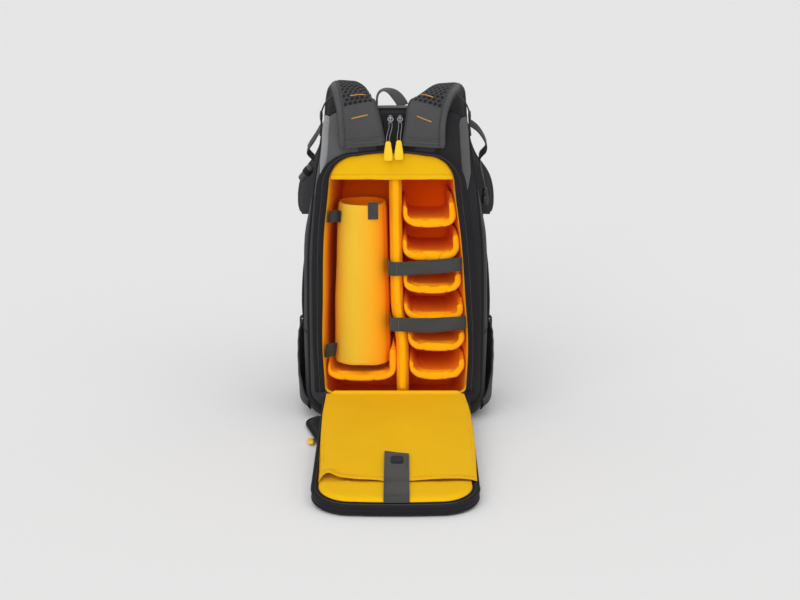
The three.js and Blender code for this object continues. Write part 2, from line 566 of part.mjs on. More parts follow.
for (const [side, sign, rows, width] of [
  ['left', -1, [
    { x: 119, y: -38, z: 482 }, { x: 129, y: -31, z: 464 }, { x: 141, y: -16, z: 446 }, { x: 143, y: -4, z: 436 },
    { x: 134, y: 5, z: 424 },
  ], 18],
  ['right', 1, [
    { x: 120, y: -30, z: 486 }, { x: 134, y: -24, z: 475 }, { x: 146, y: -14, z: 456 }, { x: 148, y: -3, z: 441 },
    { x: 139, y: 7, z: 427 }, { x: 141, y: 22, z: 408 }, { x: 147, y: 38, z: 384 }, { x: 150, y: 48, z: 372 },
  ], 18],
]) {
  add(`compression_strap_${side}`, strap(rows.map((r) => ({ ...r, x: r.x * sign, width, thick: WEB_T })), 14, () => [0, 1, 0.6]), 'black');
}
{
  const l = block(13, 24, 29, 5);
  l.rotateY(0.8);
  const m = add('side_buckle_left', l, 'black');
  m.position.set(-147.5, 16, 398);
  const r = block(12, 24, 28, 4);
  const n = add('side_buckle_right', r, 'black');
  n.position.set(151.5, 56, 351);
}
// padded hip belt wings, lying on the floor beside and under the open panel
function belt(rows, sign) {
  const top = 12;
  const rings = rows.map((r) => {
    const w = r.width / 2, c = Math.cos(r.turn * Math.PI / 180), s = Math.sin(r.turn * Math.PI / 180);
    const p = [[-w, 3], [-w + 2, 0.3], [w - 2, 0.3], [w, 3], [w, top - 3], [w - 4, top], [-w + 4, top], [-w, top - 3]];
    return p.map(([a, z]) => [sign * (r.x + a * c), r.y + a * s, z]);
  });
  return loft(rings);
}
add('hip_belt_left', belt([
  { x: -96, y: -87.5, width: 66, turn: 1 }, { x: -105, y: -101, width: 84, turn: 6 }, { x: -111, y: -122, width: 84, turn: 0 },
  { x: -106, y: -150, width: 72, turn: -10 }, { x: -101, y: -178, width: 66, turn: -14 }, { x: -97, y: -204, width: 60, turn: -16 },
  { x: -94, y: -222, width: 48, turn: -18 },
], 1), 'rim');
add('hip_belt_right', belt([
  { x: -87, y: -87, width: 58, turn: 0 }, { x: -84, y: -104, width: 62, turn: -4 }, { x: -78, y: -134, width: 62, turn: -10 },
  { x: -70, y: -166, width: 58, turn: -18 }, { x: -58, y: -196, width: 52, turn: -26 }, { x: -44, y: -220, width: 42, turn: -34 },
], -1), 'rim');
{
  const g = block(9, 20, 5, 2);
  g.rotateZ(0.2);
  const m = add('belt_tip', g, 'pull');
  m.position.set(-133.5, -206, 6);
}

export default root;
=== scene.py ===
"""Looks of an upright camera backpack whose harness-side panel is open.

Lengths are worked out in millimetres and turned to metres when a mesh is made.
"""

import math

import bmesh
import bpy
import numpy as np
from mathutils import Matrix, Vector


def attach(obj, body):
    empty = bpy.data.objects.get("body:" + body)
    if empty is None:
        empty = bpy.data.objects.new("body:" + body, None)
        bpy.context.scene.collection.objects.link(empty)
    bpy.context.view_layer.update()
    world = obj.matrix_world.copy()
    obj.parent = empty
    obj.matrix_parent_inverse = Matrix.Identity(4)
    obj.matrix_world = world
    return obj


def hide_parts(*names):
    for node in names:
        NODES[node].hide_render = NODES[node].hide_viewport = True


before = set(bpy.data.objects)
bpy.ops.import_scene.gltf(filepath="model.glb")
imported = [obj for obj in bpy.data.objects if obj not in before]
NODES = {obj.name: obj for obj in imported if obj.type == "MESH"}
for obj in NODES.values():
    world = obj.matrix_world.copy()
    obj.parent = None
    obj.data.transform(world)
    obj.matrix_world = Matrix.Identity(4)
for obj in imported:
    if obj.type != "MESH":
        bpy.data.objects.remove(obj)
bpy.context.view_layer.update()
scene = bpy.context.scene

# ------------------------------------------------------------------ camera
cam_data = bpy.data.cameras.new("camera")
cam_data.sensor_width = 36.0
cam_data.lens = 62.55
cam_data.clip_end = 200
cam = bpy.data.objects.new("camera", cam_data)
cam.location = (0.0073, -2.276, 0.746)
cam.rotation_euler = (math.radians(90 - 13.88), 0, 0)
scene.collection.objects.link(cam)
scene.camera = cam


# ------------------------------------------------------------------ helpers
def smooth(t):
    t = np.clip(t, 0.0, 1.0)
    return t * t * (3 - 2 * t)


def lerp(a, b, t):
    return a + (b - a) * t


def look(rows, key, col, k):
    return np.interp(k, [r[key] for r in rows], [r[col] for r in rows])


def rows(names, text):
    """A small table: one row a line, one named column a word."""
    keys = names.split()
    return [dict(zip(keys, map(float, line.split()))) for line in text.strip().splitlines()]


def new_object(name, points, faces, mats, slots=None, sharp=38.0):
    me = bpy.data.meshes.new(name)
    me.from_pydata((np.asarray(points, float).reshape(-1, 3) * 0.001).tolist(), [], faces)
    ob = bpy.data.objects.new(name, me)
    scene.collection.objects.link(ob)
    for m in mats if isinstance(mats, (list, tuple)) else [mats]:
        me.materials.append(m)
    if slots is not None:
        me.polygons.foreach_set("material_index", np.asarray(slots, np.int32))
    bm = bmesh.new()
    bm.from_mesh(me)
    bmesh.ops.recalc_face_normals(bm, faces=bm.faces)
    bm.to_mesh(me)
    bm.free()
    me.shade_smooth()
    if sharp:
        me.set_sharp_from_angle(angle=math.radians(sharp))
    return ob


def grid_faces(n, m, base=0, wrap_n=False, wrap_m=False):
    """Quads of an n by m grid of points."""
    faces = []
    for i in range(n if wrap_n else n - 1):
        a, b = base + i * m, base + ((i + 1) % n) * m
        for j in range(m if wrap_m else m - 1):
            k = (j + 1) % m
            faces.append((a + j, a + k, b + k, b + j))
    return faces


def loft(name, rings, mats, loop=False, caps=(True, True), slot_of=None, sharp=38.0):
    """Closed rings of points, joined one to the next; rings is (n, m, 3) in mm."""
    R = np.asarray(rings, float)
    n, m = R.shape[:2]
    faces = grid_faces(n, m, 0, wrap_n=loop, wrap_m=True)
    slots = None
    if slot_of is not None:
        slots = [slot_of(i, j) for i in range(n if loop else n - 1) for j in range(m)]
    points = R.reshape(-1, 3)
    if not loop:
        extra = []
        for on, k in ((caps[0], 0), (caps[1], n - 1)):
            if on:
                c = len(points) + len(extra)
                extra.append(R[k].mean(0))
                for j in range(m):
                    faces.append((k * m + j, k * m + (j + 1) % m, c))
                    if slots is not None:
                        slots.append(slot_of(min(k, n - 2), j))
        if extra:
            points = np.vstack([points, extra])
    return new_object(name, points, faces, mats, slots, sharp)


def catmull(P, steps):
    """Points along a smooth curve through P, an even parameter from row to row. P is (n, k)."""
    P = np.asarray(P, float)
    n = len(P)
    t = np.linspace(0, n - 1, steps)
    i = np.clip(t.astype(int), 0, n - 2)
    u = (t - i)[:, None]
    p0, p1, p2, p3 = P[np.maximum(i - 1, 0)], P[i], P[i + 1], P[np.minimum(i + 2, n - 1)]
    return 0.5 * (2 * p1 + (p2 - p0) * u + (2 * p0 - 5 * p1 + 4 * p2 - p3) * u**2 + (3 * p1 - p0 - 3 * p2 + p3) * u**3)


def unit(v):
    v = np.asarray(v, float)
    return v / (np.linalg.norm(v, axis=-1, keepdims=True) + 1e-12)


def frames(C, across):
    """Tangent, width and normal directions along a curve of points."""
    T = unit(np.gradient(C, axis=0))
    A = np.broadcast_to(np.asarray(across, float), C.shape).copy()
    A = unit(A - T * (A * T).sum(1)[:, None])
    return T, A, np.cross(T, A)


def ribbon(name, C, across, width, thick, mat, edge=0.35, end_round=True, cells=10, bend=None, sharp=38.0):
    """A flat strap with soft edges along points C. width and thick are numbers or arrays, in mm."""
    C = np.asarray(C, float)
    T, A, N = frames(C, across)
    w = np.broadcast_to(width, len(C)) / 2.0
    h = np.broadcast_to(thick, len(C)) / 2.0
    u = np.linspace(-1, 1, cells + 1)
    prof = [(a, 1 - edge * abs(a) ** 8) for a in u] + [(a, -(1 - edge * abs(a) ** 8)) for a in u[::-1]]
    R = []
    for k in range(len(C)):
        ring = []
        for a, b in prof:
            lift = 0.0 if bend is None else bend(k / (len(C) - 1), a)
            ring.append(C[k] + A[k] * a * w[k] + N[k] * (b * h[k] + lift))
        R.append(ring)
    return loft(name, R, mat, sharp=sharp)


def tube(name, C, r, mat, sides=8, loop=False, up=(0, 0, 1), sharp=0):
    """A round bead along points C."""
    C = np.asarray(C, float)
    if loop:
        T = unit(np.roll(C, -1, 0) - np.roll(C, 1, 0))
    else:
        T = unit(np.gradient(C, axis=0))
    N = np.zeros_like(C)
    v = np.array(up, float)
    if abs(v @ T[0]) > 0.9:
        v = np.array([1.0, 0, 0])
    for k in range(len(C)):
        v = unit(v - T[k] * (v @ T[k]))
        N[k] = v
    B = np.cross(T, N)
    a = np.linspace(0, 2 * math.pi, sides, endpoint=False)
    r = np.broadcast_to(r, len(C))
    R = [[C[k] + r[k] * (N[k] * math.cos(t) + B[k] * math.sin(t)) for t in a] for k in range(len(C))]
    return loft(name, R, mat, loop=loop, sharp=sharp)


def resample(C, step, loop=False):
    C = np.asarray(C, float)
    if loop:
        C = np.vstack([C, C[:1]])
    s = np.concatenate([[0], np.cumsum(np.linalg.norm(np.diff(C, axis=0), axis=1))])
    n = max(2, int(round(s[-1] / step)))
    t = np.linspace(0, s[-1], n + 1)
    out = np.stack([np.interp(t, s, C[:, k]) for k in range(3)], 1)
    return out[:-1] if loop else out


def join(name, obs):
    bpy.ops.object.select_all(action="DESELECT")
    for o in obs:
        o.select_set(True)
    bpy.context.view_layer.objects.active = obs[0]
    bpy.ops.object.join()
    obs[0].name = name
    obs[0].data.name = name
    return obs[0]


def stitches(name, C, normal, mat, pitch=3.0, length=2.1, r=0.32, loop=False, lift=0.0, tilt=0.0):
    """Separate short stitches along a line, each a small rounded bead."""
    C = resample(C, pitch, loop)
    Nn = np.broadcast_to(np.asarray(normal, float), C.shape)
    T = unit(np.roll(C, -1, 0) - np.roll(C, 1, 0)) if loop else unit(np.gradient(C, axis=0))
    P, F = [], []
    for k in range(len(C)):
        n = unit(Nn[k])
        t = unit(T[k] + tilt * np.cross(n, T[k]))
        b = np.cross(t, n)
        c = C[k] + n * lift
        base = len(P)
        for e, q in ((-1, 0.35), (-0.45, 1.0), (0.45, 1.0), (1, 0.35)):
            o = c + t * e * length / 2
            for x, y in ((1, 0), (0, 1), (-1, 0), (0, -1)):
                P.append(o + (b * x + n * y) * r * q)
        for i in range(3):
            for j in range(4):
                F.append((base + i * 4 + j, base + i * 4 + (j + 1) % 4, base + (i + 1) * 4 + (j + 1) % 4, base + (i + 1) * 4 + j))
        F.append((base, base + 1, base + 2, base + 3))
        F.append((base + 12, base + 13, base + 14, base + 15))
    return new_object(name, P, F, mat, sharp=0)


def quick_noise(P, scale, seed=0.0):
    """Smooth noise from a few sines, the same each run; P is (..., 3) in mm."""
    P = np.asarray(P, float) / scale
    x, y, z = P[..., 0] + seed * 1.7, P[..., 1] + seed * 2.3, P[..., 2] + seed * 3.1
    v = np.sin(1.7 * x + 0.9 * np.sin(1.3 * y + 0.7 * z)) + np.sin(1.5 * y + 1.1 * np.sin(1.1 * z + 0.5 * x) + 1.3)
    v = v + np.sin(1.9 * z + 0.8 * np.sin(1.7 * x + 0.3 * y) + 2.1)
    return v / 3.0


# --------------------------------------------------------------- materials
class Nodes:
    """Short calls for building a node tree."""

    def __init__(self, name):
        self.mat = bpy.data.materials.new(name)
        self.mat.use_nodes = True
        self.nt = self.mat.node_tree
        self.bsdf = self.nt.nodes["Principled BSDF"]
        self.co = self.nt.nodes.new("ShaderNodeTexCoord").outputs["Object"]

    def node(self, kind, **inputs):
        n = self.nt.nodes.new(kind)
        for k, v in inputs.items():
            self.put(n.inputs[k.replace("_", " ")] if k.replace("_", " ") in n.inputs else n.inputs[int(k[1:])], v)
        return n

    def put(self, socket, v):
        if isinstance(v, bpy.types.NodeSocket):
            self.nt.links.new(v, socket)
        else:
            socket.default_value = v

    def math(self, op, a, b=0.0, c=0.0):
        n = self.nt.nodes.new("ShaderNodeMath")
        n.operation = op
        for s, v in zip(n.inputs, (a, b, c)):
            self.put(s, v)
        return n.outputs[0]

    def noise(self, scale, detail=3.0, rough=0.5, at=None):
        n = self.node("ShaderNodeTexNoise", Vector=at or self.co, Scale=scale, Detail=detail, Roughness=rough)
        return n.outputs["Fac"]

    def voronoi(self, scale, feature="F1", at=None):
        n = self.nt.nodes.new("ShaderNodeTexVoronoi")
        n.feature = feature
        self.put(n.inputs["Vector"], at or self.co)
        self.put(n.inputs["Scale"], scale)
        return n.outputs["Distance"]

    def xyz(self, v=None):
        n = self.node("ShaderNodeSeparateXYZ", Vector=v or self.co)
        return n.outputs

    def mix(self, f, a, b):
        n = self.nt.nodes.new("ShaderNodeMix")
        n.data_type = "RGBA"
        self.put(n.inputs["Factor"], f)
        self.put(n.inputs["A"], (*a, 1) if isinstance(a, tuple) else a)
        self.put(n.inputs["B"], (*b, 1) if isinstance(b, tuple) else b)
        return n.outputs["Result"]

    def ramp(self, f, lo, hi, a=0.0, b=1.0):
        n = self.node("ShaderNodeMapRange", Value=f)
        n.inputs["From Min"].default_value, n.inputs["From Max"].default_value = lo, hi
        n.inputs["To Min"].default_value, n.inputs["To Max"].default_value = a, b
        return n.outputs[0]

    def attr(self, name):
        n = self.nt.nodes.new("ShaderNodeAttribute")
        n.attribute_name = name
        return n.outputs["Fac"]

    def weave(self, mm):
        """Height of a plain weave whose threads are mm apart, on a face turned any way."""
        k = 2 * math.pi / (mm * 0.002)
        s = [self.math("SINE", self.math("MULTIPLY", c, k)) for c in self.xyz()]
        a = self.math("MULTIPLY", s[0], s[2])
        b = self.math("MULTIPLY", s[0], s[1])
        c = self.math("MULTIPLY", s[1], s[2])
        return self.math("ADD", self.math("ADD", a, b), c)

    def bump(self, height, strength, distance):
        n = self.node("ShaderNodeBump", Height=height, Strength=strength, Distance=distance)
        prev = getattr(self, "_bump", None)
        if prev is not None:
            self.put(n.inputs["Normal"], prev)
        self._bump = n.outputs[0]
        self.put(self.bsdf.inputs["Normal"], self._bump)

    def set(self, **kw):
        for k, v in kw.items():
            self.put(self.bsdf.inputs[k.replace("_", " ")], v)


def fabric(name, light, dark, weave_mm=0.9, weave_bump=0.5, fold_bump=0.25, rough=(0.75, 0.95), sheen=0.25, sheen_rough=0.5, patch=9.0, spec=0.25, deep=None, across=None):
    """Woven cloth; the optional colour far inside the compartment is painted shade deepening towards the back, and
    across gives a painted shade colour towards one side.
    """
    m = Nodes(name)
    tone = m.noise(patch, 5.0, 0.55)
    fine = m.noise(420.0, 2.0, 0.6)
    w = m.weave(weave_mm)
    f = m.math("ADD", m.math("MULTIPLY", tone, 0.6), m.math("MULTIPLY", fine, 0.4))
    f = m.math("ADD", f, m.math("MULTIPLY", w, 0.06))
    colour = m.mix(m.ramp(f, 0.36, 0.64), dark, light)
    if deep:
        # painted shade: orange part way into the compartment, deep red far back, standing in for light bounced between
        # the lining's walls
        colour = m.mix(m.ramp(m.xyz()[1], -0.092, -0.064), colour, MIDDLE_SHADE)
        colour = m.mix(m.ramp(m.xyz()[1], -0.058, 0.02), colour, deep)
    # painted shade towards one side, where the surface turns away from the light
    if across:
        colour = m.mix(m.ramp(m.xyz()[0], across[0], across[1]), colour, across[2])
    m.set(Base_Color=colour)
    m.set(Roughness=m.ramp(fine, 0.3, 0.7, *rough))
    m.set(Sheen_Weight=sheen, Sheen_Roughness=sheen_rough, Specular_IOR_Level=spec)
    m.bump(m.noise(38.0, 3.0, 0.55), fold_bump, 0.0012)
    m.bump(m.math("ADD", w, m.math("MULTIPLY", fine, 0.8)), weave_bump, 0.00012)
    return m.mat


def webbing(name, light, dark, rough=(0.6, 0.85), pitch=1.5):
    m = Nodes(name)
    tone = m.noise(25.0, 4.0, 0.6)
    fine = m.noise(600.0, 2.0, 0.6)
    k = 2 * math.pi / (pitch * 0.001)
    x, y, z = m.xyz()
    a = m.math("SINE", m.math("MULTIPLY", m.math("ADD", m.math("ADD", x, y), z), k))
    b = m.math("SINE", m.math("MULTIPLY", m.math("SUBTRACT", m.math("ADD", x, y), z), k))
    h = m.math("MULTIPLY", a, b)
    f = m.math("ADD", m.math("MULTIPLY", tone, 0.5), m.math("ADD", m.math("MULTIPLY", fine, 0.35), m.math("MULTIPLY", h, 0.12)))
    m.set(Base_Color=m.mix(m.ramp(f, 0.25, 0.6), dark, light))
    m.set(Roughness=m.ramp(fine, 0.3, 0.7, *rough))
    m.set(Sheen_Weight=0.15, Sheen_Roughness=0.4, Specular_IOR_Level=0.3)
    m.bump(h, 0.6, 0.00025)
    m.bump(fine, 0.3, 0.0001)
    return m.mat


def plastic(name, light, dark, rough=(0.35, 0.5), grain=900.0, spec=0.5, sub=0.0):
    m = Nodes(name)
    tone = m.noise(30.0, 3.0, 0.5)
    fine = m.noise(grain, 2.0, 0.6)
    m.set(Base_Color=m.mix(m.ramp(tone, 0.35, 0.65), dark, light))
    m.set(Roughness=m.ramp(fine, 0.3, 0.7, *rough))
    m.set(Specular_IOR_Level=spec)
    m.bump(fine, 0.18, 0.00008)
    return m.mat


YELLOW_A, YELLOW_B = (0.80, 0.46, 0.004), (0.745, 0.415, 0.003)
# painted shade colours for the lined compartment: orange part way in, deep red far back
MIDDLE_SHADE, DEEP_SHADE = (1.0, 0.29, 0.002), (1.0, 0.155, 0.0012)
M = {
    "yellow": fabric("lining_yellow", YELLOW_A, YELLOW_B, weave_mm=0.8, weave_bump=0.25, fold_bump=0.22, rough=(0.75, 0.92), sheen=0.02, patch=7.0, spec=0.1),
    # lining inside the compartment: more orange than the front lip, with painted shade deepening towards the back
    "inner": fabric("lining_inner", (0.95, 0.44, 0.004), (0.90, 0.39, 0.003), weave_mm=0.8, weave_bump=0.25, fold_bump=0.25, rough=(0.75, 0.95), sheen=0.02, patch=7.0, spec=0.08, deep=DEEP_SHADE),
    # rolled wrap: the paler, bluer base is a painted highlight, and the orange towards its right side is painted shade
    "wrap": fabric("lining_wrap", (0.77, 0.485, 0.040), (0.725, 0.45, 0.030), weave_mm=0.8, weave_bump=0.25, fold_bump=0.22, rough=(0.75, 0.92), sheen=0.02, patch=7.0, spec=0.1, across=(-0.066, -0.010, (0.96, 0.32, 0.002))),
    # inside of the wrap: a redder copy of the lining, painted shade inside the tube
    "wrap_in": fabric("lining_wrap_inside", (1.0, 0.25, 0.004), (0.95, 0.22, 0.003), weave_mm=0.8, weave_bump=0.25, fold_bump=0.22, rough=(0.75, 0.92), sheen=0.02, patch=7.0, spec=0.06),
    "shell": fabric("shell_fabric", (0.048, 0.048, 0.051), (0.032, 0.032, 0.035), weave_mm=1.0, weave_bump=0.5, rough=(0.65, 0.85), sheen=0.08, spec=0.18),
    "panel": fabric("panel_grey", (0.070, 0.070, 0.073), (0.052, 0.052, 0.055), weave_mm=1.1, weave_bump=0.4, rough=(0.7, 0.9), sheen=0.08, spec=0.18),
    # lighter copy of the shell grey for the upper left harness face: painted highlight where the key light falls
    "face": fabric("face_grey", (0.100, 0.101, 0.104), (0.078, 0.079, 0.082), weave_mm=1.1, weave_bump=0.4, rough=(0.7, 0.9), sheen=0.08, spec=0.18),
    "dark": fabric("side_black", (0.020, 0.020, 0.022), (0.012, 0.012, 0.0135), weave_mm=1.0, weave_bump=0.5, rough=(0.6, 0.85), sheen=0.05, spec=0.15),
    "rim": fabric("rim_fabric", (0.017, 0.0155, 0.0185), (0.011, 0.010, 0.0125), weave_mm=1.2, weave_bump=0.5, rough=(0.65, 0.9), sheen=0.04, spec=0.12),
    # lit and shaded copies of the pocket cloth: lighter for the left pocket as painted highlight, darker for the right
    # as painted shade
    "stretch": fabric("pocket_stretch", (0.050, 0.052, 0.050), (0.036, 0.038, 0.037), weave_mm=1.4, weave_bump=0.5, rough=(0.65, 0.85), sheen=0.08, spec=0.15),
    "stretch_dim": fabric("pocket_stretch_dim", (0.030, 0.030, 0.031), (0.020, 0.020, 0.021), weave_mm=1.4, weave_bump=0.5, rough=(0.65, 0.85), sheen=0.08, spec=0.15),
    "pad": fabric("pad_grey", (0.060, 0.060, 0.064), (0.040, 0.040, 0.043), weave_mm=1.2, weave_bump=0.5, rough=(0.7, 0.9), sheen=0.1, spec=0.15),
    "binding": webbing("binding_grey", (0.085, 0.085, 0.088), (0.05, 0.05, 0.053), pitch=1.1),
    "strip": fabric("strip_grey", (0.11, 0.11, 0.115), (0.08, 0.08, 0.085), weave_mm=1.0, weave_bump=0.4, rough=(0.6, 0.8), sheen=0.1, spec=0.2),
    # lit and shaded copies of the strip grey for the corner bands: painted highlight on the left band, painted shade on
    # the right
    "strip_light": fabric("strip_light", (0.27, 0.275, 0.285), (0.21, 0.215, 0.225), weave_mm=1.0, weave_bump=0.4, rough=(0.55, 0.75), sheen=0.1, spec=0.25),
    "strip_dim": fabric("strip_dim", (0.096, 0.096, 0.10), (0.072, 0.072, 0.076), weave_mm=1.0, weave_bump=0.4, rough=(0.6, 0.8), sheen=0.08, spec=0.2),
    "web_grey": webbing("webbing_grey", (0.085, 0.085, 0.088), (0.048, 0.048, 0.05)),
    "web_mid": webbing("webbing_mid", (0.056, 0.057, 0.056), (0.034, 0.035, 0.034)),
    "web_black": webbing("webbing_black", (0.028, 0.028, 0.030), (0.015, 0.015, 0.0165)),
    "hard": plastic("hard_black", (0.02, 0.02, 0.021), (0.012, 0.012, 0.013)),
    "metal": plastic("zip_metal", (0.05, 0.05, 0.052), (0.03, 0.03, 0.031), rough=(0.3, 0.42)),
    "metal_light": plastic("zip_metal_light", (0.36, 0.36, 0.37), (0.26, 0.26, 0.27), rough=(0.3, 0.42)),
    "pull": plastic("pull_yellow", (0.93, 0.56, 0.012), (0.88, 0.50, 0.008), rough=(0.45, 0.6), spec=0.3),
    "cord": webbing("cord_grey", (0.30, 0.30, 0.30), (0.2, 0.2, 0.2), pitch=0.6),
    "orange": webbing("thread_orange", (0.78, 0.38, 0.07), (0.62, 0.28, 0.04), pitch=0.5),
    "thread": webbing("thread_dark", (0.06, 0.06, 0.064), (0.035, 0.035, 0.037), pitch=0.5),
    "thread_k": webbing("thread_black", (0.02, 0.02, 0.021), (0.012, 0.012, 0.013), pitch=0.5),
    "thread_y": webbing("thread_yellow", (0.78, 0.36, 0.01), (0.68, 0.29, 0.008), pitch=0.5),
    "thread_l": webbing("thread_light", (0.24, 0.24, 0.24), (0.16, 0.16, 0.16), pitch=0.5),
}

# ------------------------------------------------------------ floor, lights
fl = bmesh.new()
bmesh.ops.create_grid(fl, x_segments=2, y_segments=2, size=60)
fme = bpy.data.meshes.new("floor")
fl.to_mesh(fme)
fl.free()
floor = bpy.data.objects.new("floor", fme)
scene.collection.objects.link(floor)
floor.location = (0, 20, -0.0006)
fm = bpy.data.materials.new("floor_pale")
fm.use_nodes = True
fb = fm.node_tree.nodes["Principled BSDF"]
fb.inputs["Base Color"].default_value = (0.79, 0.79, 0.79, 1)
fb.inputs["Roughness"].default_value = 0.95
fb.inputs["Specular IOR Level"].default_value = 0.1
fme.materials.append(fm)

world = bpy.data.worlds.new("studio")
scene.world = world
world.use_nodes = True
world.node_tree.nodes["Background"].inputs[0].default_value = (1.0, 1.0, 1.0, 1)
world.node_tree.nodes["Background"].inputs[1].default_value = 0.55


def sun(name, power, angle, az, el):
    d = bpy.data.lights.new(name, "SUN")
    d.energy = power
    d.angle = math.radians(angle)
    o = bpy.data.objects.new(name, d)
    a, e = math.radians(az), math.radians(el)
    back = Vector((math.sin(a) * math.cos(e), -math.cos(a) * math.cos(e), math.sin(e)))
    o.rotation_mode = "QUATERNION"
    o.rotation_quaternion = back.to_track_quat("Z", "Y")
    scene.collection.objects.link(o)
    return o


sun("key", 0.77, 50, -22, 42)
sun("fill", 0.35, 60, 35, 35)
sun("top", 0.55, 60, 10, 78)
sun("front", 0.95, 40, -8, 10)
scene.view_settings.view_transform = "Standard"
scene.view_settings.look = "None"
scene.view_settings.exposure = 0.0
scene.view_settings.gamma = 1.0


def place(ob, nodes=()):
    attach(ob, "root")
    if nodes:
        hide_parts(*nodes)
    return ob


# ------------------------------------------------------------- pull cords
def cord_route(x, lean, low, r=2.3, y=-107.6):
    """Thin cord from a zip pull's top, up through the slider's eye and back."""
    cx = x + lean
    pts = [
        (cx - 2.4, y, low + 0.5), (cx - 2.4, y, low + 8), (x - r, y, 487), (x - r, y, 493.5), (x - r * 0.72, y, 496.0),
        (x, y, 497.1), (x + r * 0.72, y, 496.0), (x + r, y, 493.5), (x + r, y, 487), (cx + 2.4, y, low + 8), (cx + 2.4, y, low + 0.5),
    ]
    return catmull(pts, 39)


PULLS = {"left": (-7.6, -3.6, 464.5), "right": (7.4, -1.8, 466.0)}


def zip_pull(name, cx, low):
    """Moulded pull, narrow at the cord and wide below, its foot hollowed out."""
    R = []
    table = [(0.9, 1.6, 1.6), (0.4, 3.2, 2.2), (-0.8, 4.1, 2.6), (-3, 4.55, 2.8), (-8, 5.3, 2.9), (-14, 6.2, 2.95), (-20, 6.85, 3.0), (-24.5, 7.05, 3.0),
             (-27.4, 6.8, 2.9), (-28.9, 6.2, 2.6), (-29.5, 5.2, 2.1), (-29.3, 4.2, 1.5), (-27.6, 3.9, 1.3), (-26.2, 3.6, 1.1), (-25.6, 2.4, 0.7)]
    table = catmull(table, 58)
    for h, a, b in table:
        ring_p = []
        for t in np.linspace(0, 2 * math.pi, 40, endpoint=False):
            c, d = math.cos(t), math.sin(t)
            k = (abs(c) ** 3 + abs(d) ** 3) ** (-1 / 3)
            ring_p.append((cx + c * k * a, -107.6 + d * k * b, low + h))
        R.append(ring_p)
    n = len(table)
    # inside of the hollow foot takes the near-black cloth: painted shade in the hollow
    return loft(name, R, [M["pull"], M["dark"]], slot_of=lambda i, j: 1 if i > n * 0.80 else 0, sharp=0)


for side in ("left", "right"):
    x, lean, low = PULLS[side]
    pull = place(zip_pull(f"pull_grip_{side}", x + lean, low), [f"zip_pull_{side}"])
    collar = tube(f"pull_collar_{side}", [(x + lean, -107.6, low + h) for h in (-2.5, -0.6, 0.2, 0.9, 1.3)], [2.6, 2.8, 2.7, 2.2, 0.6], M["pull"], sides=20)
    place(collar, ())
    route = cord_route(x, lean, low)
    cu = bpy.data.curves.new(f"thin_cord_{side}", "CURVE")
    cu.dimensions = "3D"
    sp = cu.splines.new("POLY")
    sp.points.add(len(route) - 1)
    for p, q in zip(sp.points, route * 0.001):
        p.co = (*q, 1)
    cu.bevel_depth = 0.00055
    cu.bevel_resolution = 2
    cu.materials.append(M["cord"])
    co = bpy.data.objects.new(f"thin_cord_{side}", cu)
    scene.collection.objects.link(co)
    place(co, [f"pull_cord_{side}"])

# ------------------------------------------------------------ measurements
SWAY, PAD, WALL = 6.0, 8.0, 4.0
BODY = rows("y zb zt w rb rt crown", """
-97 40 506 137 26 26 2
-93 27 511 140 30 32 2
-84 11 513 144.5 34 40 3
-70 2 513 149 36 46 3
-50 0 512 152 36 52 3
0 0 507 153.5 36 56 3
50 0 502 151.5 36 56 3
80 3 493 146 38 56 3
98 14 478 136 42 54 3
108 34 459 121 46 50 2
113 60 433 98 48 46 1""")
BODY_SIDE = rows("z f", """
0 .985
60 .995
180 1
270 .99
340 .955
400 .915
440 .868
480 .828
520 .81""")
BODY_SWELL = rows("z f", """
0 1
300 1
350 .7
400 .3
450 .15
520 .1""")
CAVITY = rows("y zb zt w rb rt crown", """
-97 51 441 118 14 44 5
-90 51 442 117.5 14 44 5
-80 37 443 117 14 44 4
-69 20 443 116 14 44 3
-20 20 441 110.5 14 42 3
50 20 434 102 14 40 2""")
CAVITY_SIDE = rows("z f", """
20 .96
60 .975
131 1
212 .97
291 .937
330 .907
368 .865
407 .83
450 .8""")
RIM = dict(y=-97.0, zb=51.0, zt=447.0, w=134.3, rb=3.0, rt=62.0, crown=4.0)
RIM_SIDE = rows("z f", """
50 .985
141 1
212 .99
291 .96
339 .93
387 .893
450 .85""")


def soft_look(table, key, col, k):
    """Smooth, never overshooting curve through a table's rows."""
    xs, ys = np.array([r[key] for r in table]), np.array([r[col] for r in table])
    d = np.diff(ys) / np.diff(xs)
    m = np.zeros_like(ys)
    same = d[:-1] * d[1:] > 0
    m[1:-1][same] = 2 * d[:-1][same] * d[1:][same] / (d[:-1][same] + d[1:][same])
    m[0], m[-1] = d[0], d[-1]
    k = np.clip(k, xs[0], xs[-1])
    i = np.clip(np.searchsorted(xs, k, side="right") - 1, 0, len(xs) - 2)
    h = xs[i + 1] - xs[i]
    t = (k - xs[i]) / h
    return (1 + 2 * t) * (1 - t) ** 2 * ys[i] + t * (1 - t) ** 2 * h * m[i] + t * t * (3 - 2 * t) * ys[i + 1] + t * t * (t - 1) * h * m[i + 1]


def station(table, y):
    s = {c: float(soft_look(table, "y", c, y)) for c in ("zb", "zt", "w", "rb", "rt", "crown")}
    s["y"] = y
    return s


def flat_station(table, y):
    s = {c: float(look(table, "y", c, y)) for c in ("zb", "zt", "w", "rb", "rt", "crown")}
    s["y"] = y
    return s


def sway_at(y, z):
    return -SWAY * smooth((np.asarray(z, float) - 80) / 320) * np.clip((40 - y) / 137, 0, 1)


FINE = (8, 10, 56, 16, 14)


def side_w(side, w, z):
    """Half width at a height; the outer bag swells less near its top."""
    f = float(soft_look(side, "z", "f", z))
    if side is BODY_SIDE and w > 137:
        return 137 * f + (w - 137) * float(soft_look(BODY_SWELL, "z", "f", z))
    return w * f


